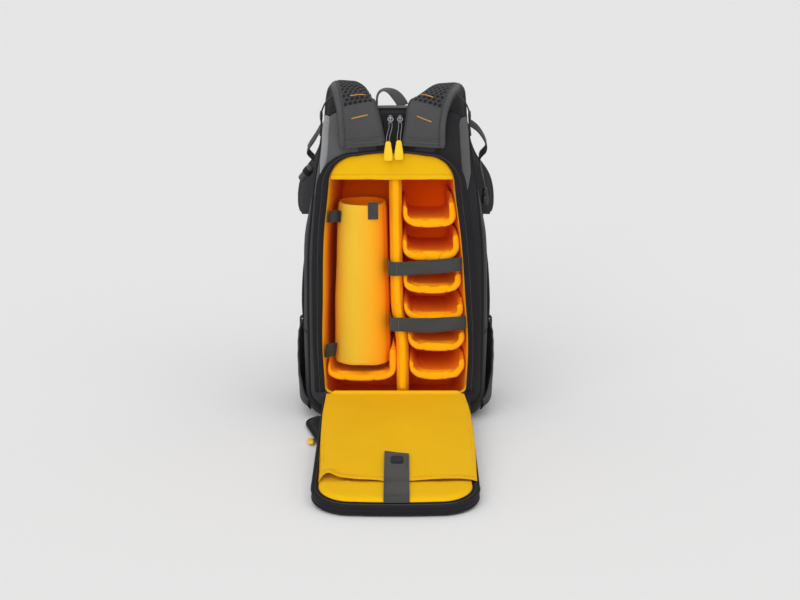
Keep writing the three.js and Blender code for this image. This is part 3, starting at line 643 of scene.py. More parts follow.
def outline(s, side, grow=0.0, n=FINE):
    """Half of an outline, from the bottom centre up to the top centre, as [x, z]."""
    zb, zt = s["zb"] - grow, s["zt"] + grow
    rb, rt = max(2.0, s["rb"] + grow), max(2.0, s["rt"] + grow)

    def hw(z):
        return side_w(side, s["w"], z) + grow

    xb, xt = hw(zb + rb) - rb, hw(zt - rt) - rt
    P = [(xb * i / n[0], zb) for i in range(n[0])]
    for i in range(n[1]):
        a = -math.pi / 2 + math.pi / 2 * i / n[1]
        P.append((xb + rb * math.cos(a), zb + rb + rb * math.sin(a)))
    for i in range(n[2]):
        z = lerp(zb + rb, zt - rt, i / n[2])
        P.append((hw(z), z))
    for i in range(n[3]):
        a = math.pi / 2 * i / n[3]
        P.append((xt + rt * math.cos(a), zt - rt + rt * math.sin(a)))
    for i in range(n[4] + 1):
        x = xt * (1 - i / n[4])
        P.append((x, zt + s["crown"] * (1 - (x / xt) ** 2)))
    return np.array(P)


def ring(s, side, grow=0.0, y=None, lean=1.0, n=FINE):
    y = s["y"] if y is None else y
    P = outline(s, side, grow, n)
    Q = P[1:-1][::-1] * [-1, 1]
    A = np.vstack([P, Q])
    return np.stack([A[:, 0] + lean * sway_at(y, A[:, 1]), np.full(len(A), float(y)), A[:, 1]], 1)


def half_w(table, side, y, z):
    return look(table, "y", "w", y) * soft_look(side, "z", "f", z)


def wall_x(sign, y, z):
    return sign * half_w(CAVITY, CAVITY_SIDE, y, z) + float(sway_at(y, z))


def body_x(y, z):
    """Half width of the outer bag, its lower corner's rounding taken off."""
    s = station(BODY, y)
    w = side_w(BODY_SIDE, s["w"], max(z, 40))
    d = s["zb"] + s["rb"] - z
    if d > 0:
        w -= s["rb"] - math.sqrt(max(0.0, s["rb"] ** 2 - d**2))
    e = z - (s["zt"] - s["rt"])
    if e > 0:
        w -= s["rt"] - math.sqrt(max(0.0, s["rt"] ** 2 - e**2))
    return w


def div_x(z):
    return 4.9 - 0.0128 * z + 8 * smooth((205 - z) / 85)


def zone(ob, pick):
    """Material of each face from its centre in mm."""
    me = ob.data
    c = np.empty(len(me.polygons) * 3)
    me.polygons.foreach_get("center", c)
    nrm = np.empty(len(me.polygons) * 3)
    me.polygons.foreach_get("normal", nrm)
    me.polygons.foreach_set("material_index", np.asarray(pick(c.reshape(-1, 3) * 1000, nrm.reshape(-1, 3)), np.int32))


def reshape_points(ob, move):
    """Move the points of a mesh, given and returned in mm."""
    me = ob.data
    c = np.empty(len(me.vertices) * 3)
    me.vertices.foreach_get("co", c)
    c = np.asarray(move(c.reshape(-1, 3) * 1000)) * 0.001
    me.vertices.foreach_set("co", c.ravel())
    me.update()


# ------------------------------------------------------------- padded pieces
PUFFS = []


def puff(ob, voxel, cap, pressure=4.0, after=None):
    """Even out the mesh and queue it for the cloth step."""
    bpy.ops.object.select_all(action="DESELECT")
    ob.select_set(True)
    bpy.context.view_layer.objects.active = ob
    m = ob.modifiers.new("even", "REMESH")
    m.mode = "VOXEL"
    m.voxel_size = voxel * 0.001
    bpy.ops.object.modifier_apply(modifier=m.name)
    rest = np.empty(len(ob.data.vertices) * 3)
    ob.data.vertices.foreach_get("co", rest)
    rest = rest.reshape(-1, 3)
    c = ob.modifiers.new("cloth", "CLOTH")
    s = c.settings
    s.quality = 4
    s.mass = 0.25
    s.tension_stiffness = s.compression_stiffness = 12
    s.shear_stiffness = 6
    s.bending_stiffness = 0.4
    s.use_pressure = True
    s.uniform_pressure_force = pressure
    s.effector_weights.gravity = 0
    c.collision_settings.use_collision = False
    c.collision_settings.use_self_collision = False
    c.point_cache.frame_start, c.point_cache.frame_end = 1, 24
    PUFFS.append((ob, rest, cap, after))
    return ob


def run_puffs():
    for f in range(1, 21):
        scene.frame_set(f)
    deps = bpy.context.evaluated_depsgraph_get()
    moved = []
    for ob, rest, cap, after in PUFFS:
        ev = ob.evaluated_get(deps).data
        co = np.empty(len(ev.vertices) * 3)
        ev.vertices.foreach_get("co", co)
        moved.append(co.reshape(-1, 3).copy())
    for (ob, rest, cap, after), co in zip(PUFFS, moved):
        ob.modifiers.clear()
        d = co - rest
        size = np.linalg.norm(d, axis=1)
        top = (cap(rest * 1000) if callable(cap) else np.full(len(rest), float(cap))) * 0.001
        d *= (np.minimum(size, top) / (size + 1e-12))[:, None]
        ob.data.vertices.foreach_set("co", (rest + d).ravel())
        ob.data.update()
    scene.frame_set(1)
    for ob, rest, cap, after in PUFFS:
        bpy.ops.object.select_all(action="DESELECT")
        ob.select_set(True)
        bpy.context.view_layer.objects.active = ob
        m = ob.modifiers.new("finer", "SUBSURF")
        m.levels = m.render_levels = 1
        bpy.ops.object.modifier_apply(modifier=m.name)
        if after:
            reshape_points(ob, after)
        ob.data.shade_smooth()


# ----------------------------------------------------------------- outer bag
def shell_piece():
    outer_y = np.concatenate([[-97, -96, -94.6, -93, -90.5, -87.5, -84, -80], np.linspace(-75, 75, 31), [80, 84, 88, 92, 95, 98, 101, 104, 106.5, 108, 110, 111.8, 113]])
    R = []
    # front end: small rings close the panel before the full outline
    last = ring(station(BODY, 113.0), BODY_SIDE, 0, lean=0)
    c = last.mean(0)
    for t in (0.03, 0.2, 0.4, 0.6, 0.78, 0.9):
        q = c + (last - c) * t
        q[:, 1] = 113 + 0.6 * (1 - t)
        R.append(q)
    for y in outer_y[::-1]:
        s = station(BODY, float(y))
        q = ring(s, BODY_SIDE, 0, lean=0)
        z = q[:, 2]
        # soft, slightly slack cloth
        k = smooth((y + 88) / 30) * smooth((104 - y) / 20)
        n = np.stack([np.sign(q[:, 0]) * (np.abs(q[:, 0]) > 60), 0 * z, (z > 470) * 0.6], 1)
        q = q + n * (0.9 * k * quick_noise(q, 42.0, 1.0))[:, None] - n * (0.9 * k)
        R.append(q)
    # harness face, from the edge in to the opening's lip
    edge = ring(flat_station(BODY, -97.0), BODY_SIDE, 0, lean=0)
    lip = ring(flat_station(CAVITY, -97.0), CAVITY_SIDE, 3.8)
    for t in (0.08, 0.2, 0.36, 0.52, 0.68, 0.84, 1.0):
        q = edge + (lip - edge) * t
        q[:, 1] = -97 - 0.5 * math.sin(math.pi * min(1, t)) * (1 + 0.4 * quick_noise(q, 30.0, 4.0))
        R.append(q)
    q = lip.copy()
    q[:, 1] = -93
    R.append(q)
    for y in (-90, -84, -70, -50, 0, 50, 80, 98, 106):
        R.append(ring(station(BODY, float(y)), BODY_SIDE, -WALL, y=min(y, 109), lean=0))
    q = ring(station(BODY, 113.0), BODY_SIDE, -WALL, y=109, lean=0)
    R.append(q)
    ob = loft("outer_bag", R, [M["shell"], M["dark"], M["face"], M["strip"]], sharp=60)

    def pick(c, n):
        side = (np.abs(c[:, 0]) > 60) & (c[:, 1] > -90) & (c[:, 1] < 96) & (c[:, 2] < 497)
        out = np.where(side, 1, 0)
        # right side of the harness face takes the near-black cloth: painted shade away from the key light
        out = np.where((c[:, 1] <= -90) & (c[:, 0] > 60), 1, out)
        # upper left of the harness face takes the lighter grey: painted highlight where the key light falls
        out = np.where((c[:, 1] <= -90) & (c[:, 0] < -60) & (c[:, 2] > 380), 2, out)
        out = np.where((c[:, 1] < -89) & (np.abs(c[:, 0]) < 32), 1, out)
        # lighter grey over the left side pocket only, the lit side: partly the gusset panel's own grey, partly painted
        # highlight
        lens = ((c[:, 1] + 4) / 40) ** 2 + ((c[:, 2] - 192) / 46) ** 2 < 1
        out = np.where(lens & (c[:, 0] < -120) & (n[:, 0] < -0.6), 3, out)
        return out

    zone(ob, pick)
    return place(ob, ["body_shell"])


shell_piece()


seams = []
for y, grow, r in ((-92.0, 0.9, 2.1), (97.0, 0.9, 2.0)):
    C = resample(ring(station(BODY, y), BODY_SIDE, grow, lean=0), 4.0, loop=True)
    seams.append(tube("seam", C, r, M["rim"], sides=10, loop=True))
place(join("edge_piping", seams), ())
# seams that run over the sides and top
lines = []
for z, d in ((150, 0.3),):
    for sign in (-1, 1):
        C = [(sign * (body_x(y, z) + d), y, z) for y in np.linspace(-84, 92, 60)]
        lines.append(tube("line", C, 1.0, M["rim"], sides=6))
for x in (-72.0, 72.0):
    C = []
    for y in np.linspace(-86, 96, 60):
        s = station(BODY, float(y))
        P = outline(s, BODY_SIDE, 0.3)
        top = P[-31:]
        C.append((x, y, float(np.interp(abs(x), top[::-1, 0], top[::-1, 1]))))
    lines.append(tube("line", C, 1.1, M["rim"], sides=6))
place(join("panel_seams", lines), ())


# -------------------------------------------------------- zip band, opening
def rim_halves(n=(3, 4, 70, 22, 16)):
    s = flat_station(CAVITY, -97.0)
    s["rb"] = 3.0
    a = outline(s, CAVITY_SIDE, 0.4, n)[n[0] + n[1]:]
    b = outline(RIM, RIM_SIDE, 0, n)[n[0] + n[1]:]
    A = np.vstack([a, a[:-1][::-1] * [-1, 1]])
    B = np.vstack([b, b[:-1][::-1] * [-1, 1]])
    return A, B


RIM_A, RIM_B = rim_halves()


def rim_line(t, y):
    """A line along the zip band, t from the opening's edge to the outer edge."""
    P = RIM_A + (RIM_B - RIM_A) * t
    return np.stack([P[:, 0] + sway_at(-97, P[:, 1]), np.full(len(P), float(y)), P[:, 1]], 1)


prof = [(0.0, -97.3), (0.02, -99.4), (0.07, -101.0), (0.14, -101.8), (0.24, -102.2), (0.34, -102.2), (0.42, -101.7), (0.47, -101.2),
        (0.53, -101.2), (0.58, -101.7), (0.66, -102.3), (0.77, -102.8), (0.87, -102.7), (0.94, -101.8), (0.985, -100.2), (1.0, -98.7), (1.0, -97.3)]
rings_ = np.stack([rim_line(t, y) for t, y in prof], 1)
w_ = quick_noise(rings_[:, 5], 55.0, 2.0)
rings_[:, 3:15, 1] -= 0.3 * w_[:, None]
rim = loft("zip_band", rings_, [M["rim"]], sharp=0)
place(rim, ["opening_rim"])


def coil(name, C, r, pitch, mat, depth=0.28, sides=8):
    """Bead whose radius ripples, as the coil of a zip."""
    C = resample(C, pitch / 4)
    k = np.arange(len(C))
    return tube(name, C, r * (1 - depth * (0.5 + 0.5 * np.cos(2 * math.pi * k / 4))), mat, sides=sides)


place(coil("zip_coil", rim_line(0.5, -101.3), 1.1, 1.9, M["hard"]), ())
parts = [stitches("st", rim_line(t, y), (0, -1, 0), M["thread_k"], pitch=3.4, length=2.3, r=0.28, lift=0.1) for t, y in ((0.37, -102.1), (0.64, -102.2))]
place(join("band_stitching", parts), ())


# ------------------------------------------------------ lined compartment
def liner_piece():
    n = FINE
    ys = [-97, -96, -94, -91, -88, -84, -80, -75, -69, -60, -50, -40, -30, -20, -8, 4, 16, 28, 38, 45, 49, 50]
    R = []
    back = ring(flat_station(CAVITY, 50.0), CAVITY_SIDE, 0, n=n)
    c = back.mean(0)
    for t in (0.02, 0.12, 0.25, 0.4, 0.55, 0.7, 0.82, 0.92, 0.975):
        q = c + (back - c) * t
        puffy = 1.6 * (1 - t**6) + 0.7 * quick_noise(q, 34.0, 5.0)
        q[:, 1] = 50 - np.maximum(0, puffy)
        R.append(q)
    for y in ys[::-1]:
        s = flat_station(CAVITY, float(y))
        q = ring(s, CAVITY_SIDE, 0, n=n)
        k = smooth((y + 96) / 14) * smooth((50 - y) / 6)
        inw = np.stack([-np.sign(q[:, 0]) * (np.abs(q[:, 0]) > 0.86 * s["w"] * 0.8), 0 * q[:, 0], 0 * q[:, 0]], 1)
        top = q[:, 2] > s["zt"] - 18
        inw[top] = [0, 0, -1]
        amp = k * (0.7 + 0.6 * quick_noise(q, 30.0, 3.0))
        R.append(q + inw * amp[:, None])
    # rolled front edge tucked behind the bag's face, then the padding's outer side
    for g, y in ((0.7, -97.3), (1.6, -97.2), (2.4, -96.4), (3.0, -92.6), (PAD, -92.2), (PAD, -80), (PAD, -20), (PAD, 50), (PAD, 58)):
        s = flat_station(CAVITY, float(min(y, 50)) if y > -97 else -97.0)
        R.append(ring(s, CAVITY_SIDE, g, y=y, n=n))
    ob = loft("lined_compartment", R, [M["yellow"], M["inner"]], sharp=50)
    # walls behind the front lip take the inner lining, whose colour carries painted shade deepening towards the back
    zone(ob, lambda c, nn: np.where(c[:, 1] > -96.5, 1, 0))
    return place(ob, ["liner"])


liner_piece()

# piped seam inside, round the back wall
lines = [tube("line", resample(ring(flat_station(CAVITY, 48.0), CAVITY_SIDE, -1.2), 4.0, loop=True), 1.3, M["inner"], sides=8, loop=True)]
place(join("lining_piping", lines), ())


# ----------------------------------------------------------- centre divider
def divider():
    table = rows("y zb zt", """
    -92.5 52.5 440
    -89.6 52.2 440
    -79.6 38 439
    -68.4 20.6 438
    49.4 20.6 431""")
    R = []
    for y in [-92.2, -91.2, -89, -85, -80, -74, -68] + list(np.linspace(-60, 49, 20)):
        zb, zt = look(table, "y", "zb", y) + 0.8, look(table, "y", "zt", y) - 0.8
        h = 7.2 * (1 - 0.55 * math.exp(-((y + 92.2) / 1.5)))
        zs = np.linspace(zb, zt, 50)
        up = [(div_x(z) + h, y, z) for z in zs]
        dn = [(div_x(z) - h, y, z) for z in zs[::-1]]
        R.append(up + dn)
    return loft("padded_divider", R, M["inner"])


def divider_after(P):
    # two sewn lines down each face, a little in from the edges, and soft dents
    for y0 in (-84.0, 42.0):
        d = np.exp(-((P[:, 1] - y0) / 1.6) ** 2)
        sgn = np.sign(P[:, 0] - div_x(P[:, 2]))
        P[:, 0] -= sgn * 1.1 * d
    soft = smooth((-80 - P[:, 1]) / 8)
    P[:, 0] += 0.9 * soft * quick_noise(P, 26.0, 7.0)
    return P


def div_cap(P):
    return np.where(P[:, 1] < -86, 2.0, 3.2)


div_ob = puff(divider(), 4.6, div_cap, after=divider_after)
place(div_ob, ["centre_divider"])

# ------------------------------------------------------------ cross dividers
SHELVES = [("shelf_1", 339, 3, 26, 36), ("shelf_2", 286, 3, 26, 34), ("shelf_3", 231, 3, 24, 26), ("shelf_4", 184, 3, 22, 24), ("shelf_5", 135, 3, 22, 24), ("shelf_6", 87, 3, 22, 26)]


def cross_divider(name, left, right, z, sag, wing_l, wing_r, y0=-90.0, t=9.0, wing=5.0, crumple=1.0, seed=0.0):
    """U-shaped padded divider, its wings standing up against the two walls."""
    R = []
    for y in list(np.linspace(y0 + 1.2, 49.0, 30)):
        def L(h):
            return left(y, z + h) + 1.4

        def Rr(h):
            return right(y, z + h) - 1.4
        k = smooth((y - y0) / 40)
        mid = (L(0) + Rr(0)) / 2
        q = (Rr(0) - L(0)) / 2
        front = 1 - k
        wl, wr = wing_l - 5 * front, wing_r - 7 * front
        w2 = wing / 2 + 0.4
        w3 = w2 + 2.2 * front
        t1 = t * (1 + 0.38 * front)
        ctrl = [
            (L(wl) + w2, wl, wing * 0.8), (L(wl * 0.6) + w2, wl * 0.6, wing), (L(6) + w2 + 0.5, 6, wing + 1),
            (L(0) + w2 + 4.5, -1.5, t1 * 0.8), (mid - q * 0.62, -t / 2 - sag * 0.6, t1 * 0.92), (mid - q * 0.3, -t / 2 - sag * 0.95, t1 * 0.92),
            (mid, -t / 2 - sag, t1 * 0.92), (mid + q * 0.3, -t / 2 - sag * 0.95, t1 * 0.92), (mid + q * 0.62, -t / 2 - sag * 0.6, t1 * 0.92),
            (Rr(0) - w3 - 4.5, -1.5, t1 * 0.8), (Rr(6) - w3 - 0.5, 6, wing + 1 + 4.4 * front), (Rr(wr * 0.6) - w3, wr * 0.6, wing + 4.4 * front), (Rr(wr) - w3, wr, wing * 0.8 + 4 * front),
        ]
        C = catmull(ctrl, 61)
        P2 = C[:, :2].copy()
        P2[:, 1] += z + front * crumple * 0.5 * np.sin(P2[:, 0] * 0.11 + seed * 2.1)
        T2 = unit(np.gradient(P2, axis=0))
        N2 = np.stack([-T2[:, 1], T2[:, 0]], 1)
        h = C[:, 2:3] / 2 * 0.86
        up, dn = P2 + N2 * h, P2 - N2 * h
        ringp = np.vstack([up, dn[::-1]])
        R.append(np.stack([ringp[:, 0], np.full(len(ringp), y), ringp[:, 1]], 1))
    return loft(name, R, M["inner"])


def shelf_after(z, sag, seed, xl, xr):
    folds = [lerp(xl, xr, f) for f in ((0.24, 0.78) if seed % 2 == 0 else (0.3, 0.7))]

    def move(P):
        near = smooth((-66 - P[:, 1]) / 20)
        base = np.exp(-(((P[:, 2] - z + 4) / 12) ** 2))
        for i, x in enumerate(folds):
            d = np.exp(-((P[:, 0] - x - (P[:, 2] - z) * (0.5 if i else -0.5)) / 2.6) ** 2)
            P[:, 1] += 1.9 * near * base * d
            P[:, 2] -= 1.3 * base * d * np.sign(P[:, 2] - z + 4.5) * (0.3 + 0.7 * near)
        # soft wrinkles on the lip
        P[:, 1] -= 0.3 * near * quick_noise(P, 17.0, seed)
        P[:, 2] += 0.25 * near * quick_noise(P, 26.0, seed + 9)
        # sewn line behind the lip
        s = np.exp(-((P[:, 1] + 80) / 1.5) ** 2)
        P[:, 2] -= 0.9 * s * base * np.sign(P[:, 2] - z + 4.5 + sag * 0.5)
        return P
    return move


def wr(y, z):
    return wall_x(1, y, z)


def wl(y, z):
    return wall_x(-1, y, z)


for i, (name, z, sag, win, wout) in enumerate(SHELVES):
    ob = cross_divider(f"cloth_{name}", lambda y, zz: div_x(zz) + 9.0, wr, z, sag + (0.5, 1.2, 0.4, 1.2, 1.4, 3.4)[i], win, wout, seed=i)
    puff(ob, 3.6, lambda P: np.where(P[:, 1] < -70, 2.6, 1.6), after=shelf_after(z, sag, i, 14, wr(-88, z)))
    place(ob, [name])
ob = cross_divider("cloth_shelf_left", wl, lambda y, zz: div_x(zz) - 9.0, 81, 2.6, 24, 50, y0=-88.0, seed=8)
puff(ob, 3.8, lambda P: np.where(P[:, 1] < -70, 2.8, 1.6), after=shelf_after(81, 2, 8, wl(-88, 81), -5))
place(ob, ["shelf_left"])


# --------------------------------------------------------- rolled lens wrap
def wrap_piece():
    """Padded sheet rolled into a tube, its end lapping over on the right."""
    cx, cy = -54.0, -43.0
    na, nz = 150, 84
    turn = 2 * math.pi * 1.10
    a0 = math.radians(-26)  # where the outer end lies, seen from above, to the right of the front
    z0, z1 = 94.0, 360.0

    def radius(z):
        return float(np.interp(z, [94, 200, 359], [46.5, 45.3, 40.0])), 45.0

    def at(u, v, off):
        # u runs from the outer end round the front and inwards; off from the outer face inwards
        a = a0 - u * turn
        zb = z0 + 0.6 * math.sin(3 * a + 0.6) + 0.3 * math.sin(7 * a)
        z = lerp(zb, z1 + 0.5 * math.sin(2 * a), v)
        rx, ry = radius(z)
        over = 7.4 * smooth((u * 1.10 - 0.98) / 0.10)  # the inner end steps under the outer one
        edge_v = min(v, 1 - v) * (z1 - z0)
        edge_u = min(u, 1 - u) * turn * 43
        pinch = 1 - 0.55 * math.exp(-edge_v / 3.2) - 0.5 * math.exp(-edge_u / 3.0)
        t = 7.6 * max(0.3, pinch)
        waves = 0.55 * math.sin(2.1 * a + z * 0.021) * math.sin(z * 0.037 + 1.1) + 0.4 * math.sin(5 * a + z * 0.011)
        r_in = over + waves * 0.8 + (7.6 - t) / 2 + off * t
        # sewn hem lines near the ends
        for h in (9.0, (z1 - z0) - 8.0):
            r_in += 0.7 * math.exp(-(((z - zb) - h) / 1.1) ** 2) * (1 if off == 0 else -1)
        c, d = math.cos(a), math.sin(a)
        k = (abs(c) ** 2.2 + abs(d) ** 2.2) ** (-1 / 2.2)
        return (cx + (rx - r_in) * c * k, cy + (ry - r_in) * d * k, z)

    R = []
    for i in range(na + 1):
        u = i / na
        col = [at(u, j / nz, 0.0) for j in range(nz + 1)]
        col += [at(u, 1.0, f) for f in (0.3, 0.7)]
        col += [at(u, j / nz, 1.0) for j in range(nz, -1, -1)]
        col += [at(u, 0.0, f) for f in (0.7, 0.3)]
        R.append(col)
    ob = loft("rolled_wrap", R, [M["wrap"], M["wrap_in"]], sharp=60)
    # faces turned in towards the tube's axis take the redder inside copy: painted shade
    zone(ob, lambda c, n: np.where(((c[:, 0] - cx) * n[:, 0] + (c[:, 1] - cy) * n[:, 1] < -4) & (np.abs(n[:, 2]) < 0.8), 1, 0))
    return ob


place(wrap_piece(), ["lens_wrap"])


def wrap_front(x, z, off):
    rx = float(np.interp(z, [94, 200, 359], [46.5, 45.3, 40.0])) + off
    ry = 45.0 + off
    return -43 - ry * max(0.0, 1 - abs((x + 54) / rx) ** 2.2) ** (1 / 2.2)


# tab folded over the tube's top edge
cxm = -35.7
f = wrap_front(cxm, 350, 1.0)
g = wrap_front(cxm, 339, 1.2)
pts = [(cxm, f + 11.5, 347), (cxm, f + 11, 357), (cxm, f + 9, 362.3), (cxm, f + 4.5, 363.4), (cxm, f, 362.4), (cxm, f - 1.6, 358), (cxm, g - 1.4, 349), (cxm, g - 1.2, 338)]
tab_c = catmull(pts, 40)
tab_o = ribbon("wrap_loop", tab_c, (1, 0.12, 0), 16.5, 1.7, M["web_mid"], edge=0.3)
tab_s = [stitches("s", [(cxm - 6.6, g - 2.4, 341.5), (cxm + 6.6, g - 2.6, 341.5)], (0, -1, 0), M["thread_l"], pitch=2.2, length=1.6, r=0.25)]
place(join("wrap_loop", [tab_o] + tab_s), ["wrap_tab"])


def wrap_band(name, node, z0, z1, tilt, x1):
    zm, x0 = (z0 + z1) / 2, wall_x(-1, -90, (z0 + z1) / 2) + 2.6
    pts = []
    for k in np.linspace(0, 1, 30):
        x = lerp(x0, x1, k)
        fr = wrap_front(max(x, -54 - 38.5), zm, 2.8)
        y = lerp(-91.5, fr, smooth(k * 1.1))
        pts.append((x, y - 1.2 * math.sin(math.pi * k), zm + tilt * k))
    C = resample(pts, 1.6)
    a = ribbon(name, C, (0, 0, 1), (z1 - z0), 2.0, M["web_black"], edge=0.3)
    s = [stitches("s", [(C[n][0], C[n][1] - 1.3, zm - 7 + tilt * n / len(C)), (C[n][0], C[n][1] - 1.3, zm + 7 + tilt * n / len(C))], (0, -1, 0), M["thread"], pitch=2.2, length=1.6, r=0.25) for n in (3, len(C) - 4)]
    return place(join(name, [a] + s), [node])


wrap_band("wrap_band_upper", "wrap_strap_upper", 334, 353, -4, -88.5)
wrap_band("wrap_band_lower", "wrap_strap_lower", 110, 132, -2.5, -97.0)


# ----------------------------------------------------------- gear straps
def gear_strap(name, node, zl, zm, zr, high, dip):
    xd = float(div_x(zl + high / 2))
    pts = [
        (xd - 12.6, -64, zl), (xd - 12.6, -78, zl), (xd - 12.4, -88, zl), (xd - 10.8, -93.8, zl + 0.1),
        (xd - 5, -95.8, zl + 0.2), (xd + 6, -96.4, zl + 0.4), (24, -96.6, lerp(zl, zm, 0.5)), (42, -96.3, zm), (62, -96.2, lerp(zm, zr, 0.35) - dip),
        (84, -95.8, lerp(zm, zr, 0.7) - dip * 0.6), (wall_x(1, -94, zr) - 8, -95.4, zr - 0.4), (wall_x(1, -94, zr) - 1.8, -93.4, zr),
    ]
    C = resample(catmull(pts, 160), 1.4)
    s = np.linspace(0, 1, len(C))
    w = high * (1 + 0.03 * np.sin(9 * s + zl))
    a = ribbon(name, C, (0, 0.0, 1), w, 1.9, M["web_mid"], edge=0.35, cells=12, bend=lambda t, e: 0.35 * math.sin(11 * t + 2.2 * e + zl))
    T, A, N = frames(C, (0, 0, 1))
    out = []
    sgn = -1.0 if N[len(C) // 2][1] > 0 else 1.0
    for e in (-0.86, 0.86):
        L = C + A * (e * w / 2)[:, None] + N * sgn * 0.95
        out.append(stitches("s", L[4:-2], N[len(C) // 2] * sgn, M["thread"], pitch=2.8, length=1.9, r=0.24))
    i = int(np.argmin(np.abs(C[:, 0] - (xd + 1)) + (C[:, 1] > -94) * 99))
    bar = [C[i] + A[i] * (e * w[i] / 2) + N[i] * sgn * 1.0 for e in (-0.85, 0.85)]
    out.append(stitches("s", bar, N[i] * sgn, M["thread_l"], pitch=1.7, length=1.4, r=0.3))
    return place(join(name, [a] + out), [node])


gear_strap("gear_band_upper", "gear_strap_upper", 258.5, 261, 266.5, 22.5, 0.8)
gear_strap("gear_band_lower", "gear_strap_lower", 166, 165, 169, 23.5, 1.2)


# --------------------------------------------------------------- valance
def valance():
    P = outline(flat_station(CAVITY, -94.0), CAVITY_SIDE, -0.8)
    top = P[FINE[0] + FINE[1]:]
    zlow = 403.5
    x0, x1 = wall_x(-1, -94, 404) + 1.6, wall_x(1, -94, 404) - 1.6
    n, m = 150, 30

    def top_z(x):
        s = abs(x - float(sway_at(-94, 430)))
        return float(np.interp(s, top[::-1, 0], top[::-1, 1]))

    def at(u, v, back):
        x = lerp(x0, x1, u)
        zt = max(zlow + 1.5, top_z(x) - 0.6)
        low = zlow + 0.25 * math.sin(u * 9) + 0.15 * math.sin(u * 23 + 1)
        z = lerp(low, zt, v)
        hang = (1 - v) ** 0.7
        # long soft upright folds that fade out at the top
        fold = hang * (0.9 * math.sin(u * 21 + 0.6) + 0.6 * math.sin(u * 37 + 2.0) + 0.35 * math.sin(u * 61 + z * 0.05))
        hem = 0.55 * math.exp(-((z - low - 7.5) / 0.9) ** 2) - 0.45 * math.exp(-((z - low - 3.5) / 2.2) ** 2)
        y = -95.2 + fold * 0.6 + hem
        return (x, y + back, z)

    R = []
    for i in range(n + 1):
        u = i / n
        R.append([at(u, j / m, 0) for j in range(m + 1)] + [at(u, j / m, 1.3) for j in range(m, -1, -1)])
    ob = loft("top_flounce", R, M["yellow"], sharp=60)
    hem = [at(u, (7.5) / 40, -0.25) for u in np.linspace(0.01, 0.99, 120)]
    hem = [(p[0], p[1] - 0.1, zlow + 7.5) for p in hem]
    st = stitches("flounce_thread", hem, (0, -1, 0), M["thread_y"], pitch=3.0, length=2.2, r=0.28)
    xs = np.linspace(x0, x1, 200)
    area = float(np.trapz([max(1.5, top_z(x) - 0.6 - zlow) for x in xs], xs)) * 1e-6
    return ob, st, (x1 - x0), max(top_z(x) for x in xs) - zlow, area


v_ob, v_st, v_w, v_h, v_area = valance()
place(v_ob, ["top_valance"])
place(v_st, ())


# ------------------------------------------------------------- open panel
TILT = math.radians(4.8)
FLAP_HALF, FLAP_R, FLAP_LEN, FLAP_T, FLAP_X = 118.5, 58.0, 394.0, 18.0, 1.0


def lay(P):
    """From the panel's own frame, (x, distance from the fold, height), to the bag's."""
    P = np.asarray(P, float)
    x, s, h = P[..., 0], P[..., 1], P[..., 2]
    return np.stack([x + FLAP_X, -s * math.cos(TILT) - h * math.sin(TILT) - 104, -s * math.sin(TILT) + h * math.cos(TILT) + 51], -1)


def to_flap(P):
    """Back from the bag's frame to the panel's own."""
    y, z = P[:, 1] + 104, P[:, 2] - 51
    return P[:, 0] - FLAP_X, -(y * math.cos(TILT) + z * math.sin(TILT)), -y * math.sin(TILT) + z * math.cos(TILT)


def flap_outline(inset, start=0.0, n=(30, 60, 22, 14)):
    """Closed outline as (x, s), from the fold's left end round to the free end and back."""
    h, r, e = FLAP_HALF - inset, FLAP_R - inset, FLAP_LEN - inset
    P = [(lerp(-h + 3, h - 3, i / n[0]), start) for i in range(n[0] + 1)]
    P += [(h - 0.4 * i / n[1], lerp(start + 3, e - r, i / n[1])) for i in range(n[1])]
    P += [(h - r + r * math.cos(a), e - r + r * math.sin(a)) for a in np.linspace(0, math.pi / 2, n[2] + 1)]
    P += [((h - r) * (1 - 2 * i / n[3]), e + 2 * (1 - (1 - 2 * i / n[3]) ** 2)) for i in range(1, n[3])]
    P += [(-h + r + r * math.cos(a), e - r + r * math.sin(a)) for a in np.linspace(math.pi / 2, math.pi, n[2] + 1)]
    P += [(-h + 0.4 * i / n[1], lerp(e - r, start + 3, i / n[1])) for i in range(1, n[1] + 1)]
    return np.array(P)


def flap_panel():
    R = []
    c0 = flap_outline(0)
    mid = np.array([0.0, 190.0])
    for t, h in ((0.03, -17.6), (0.3, -17.8), (0.6, -18), (0.85, -18), (0.96, -18)):
        q = mid + (flap_outline(6) - mid) * t
        R.append(lay(np.column_stack([q, np.full(len(q), h)])))
    sect = [(6, -18.0), (3.4, -17.4), (1.6, -15.6), (0.5, -13), (0, -10), (0.1, -8), (0.7, -6.2), (1.6, -4.7), (3.0, -3.6), (5.0, -2.9), (8, -2.7), (14, -2.8)]
    for inset, h in sect:
        q = flap_outline(inset)
        R.append(lay(np.column_stack([q, np.full(len(q), h)])))
    for t in (0.8, 0.5, 0.2, 0.03):
        q = mid + (flap_outline(14) - mid) * t
        R.append(lay(np.column_stack([q, np.full(len(q), -2.9)])))
    return loft("open_panel", R, M["rim"], sharp=0)


place(flap_panel(), ["flap_panel"])


def flap_line(inset, h, start=2.0, free_only=True, step=2.5):
    """A line along the sides and free end of the open panel."""
    q = flap_outline(inset, start)[31:] if free_only else flap_outline(inset, start)
    P = lay(np.column_stack([q, np.full(len(q), float(h))]))
    return resample(P, step)


place(tube("panel_piping", flap_line(1.2, -3.6), 2.3, M["rim"], sides=10), ())
place(tube("panel_piping_low", flap_line(1.4, -15.4), 2.0, M["rim"], sides=10), ())
place(coil("panel_zip_coil", flap_line(4.9, -2.2), 1.25, 1.9, M["hard"]), ())
st = stitches("s", flap_line(7.4, -2.4), lay([(0, 0, 1)])[0] - lay([(0, 0, 0)])[0], M["thread_k"], pitch=3.4, length=2.3, r=0.3)
place(st, ()).name = "panel_stitching"


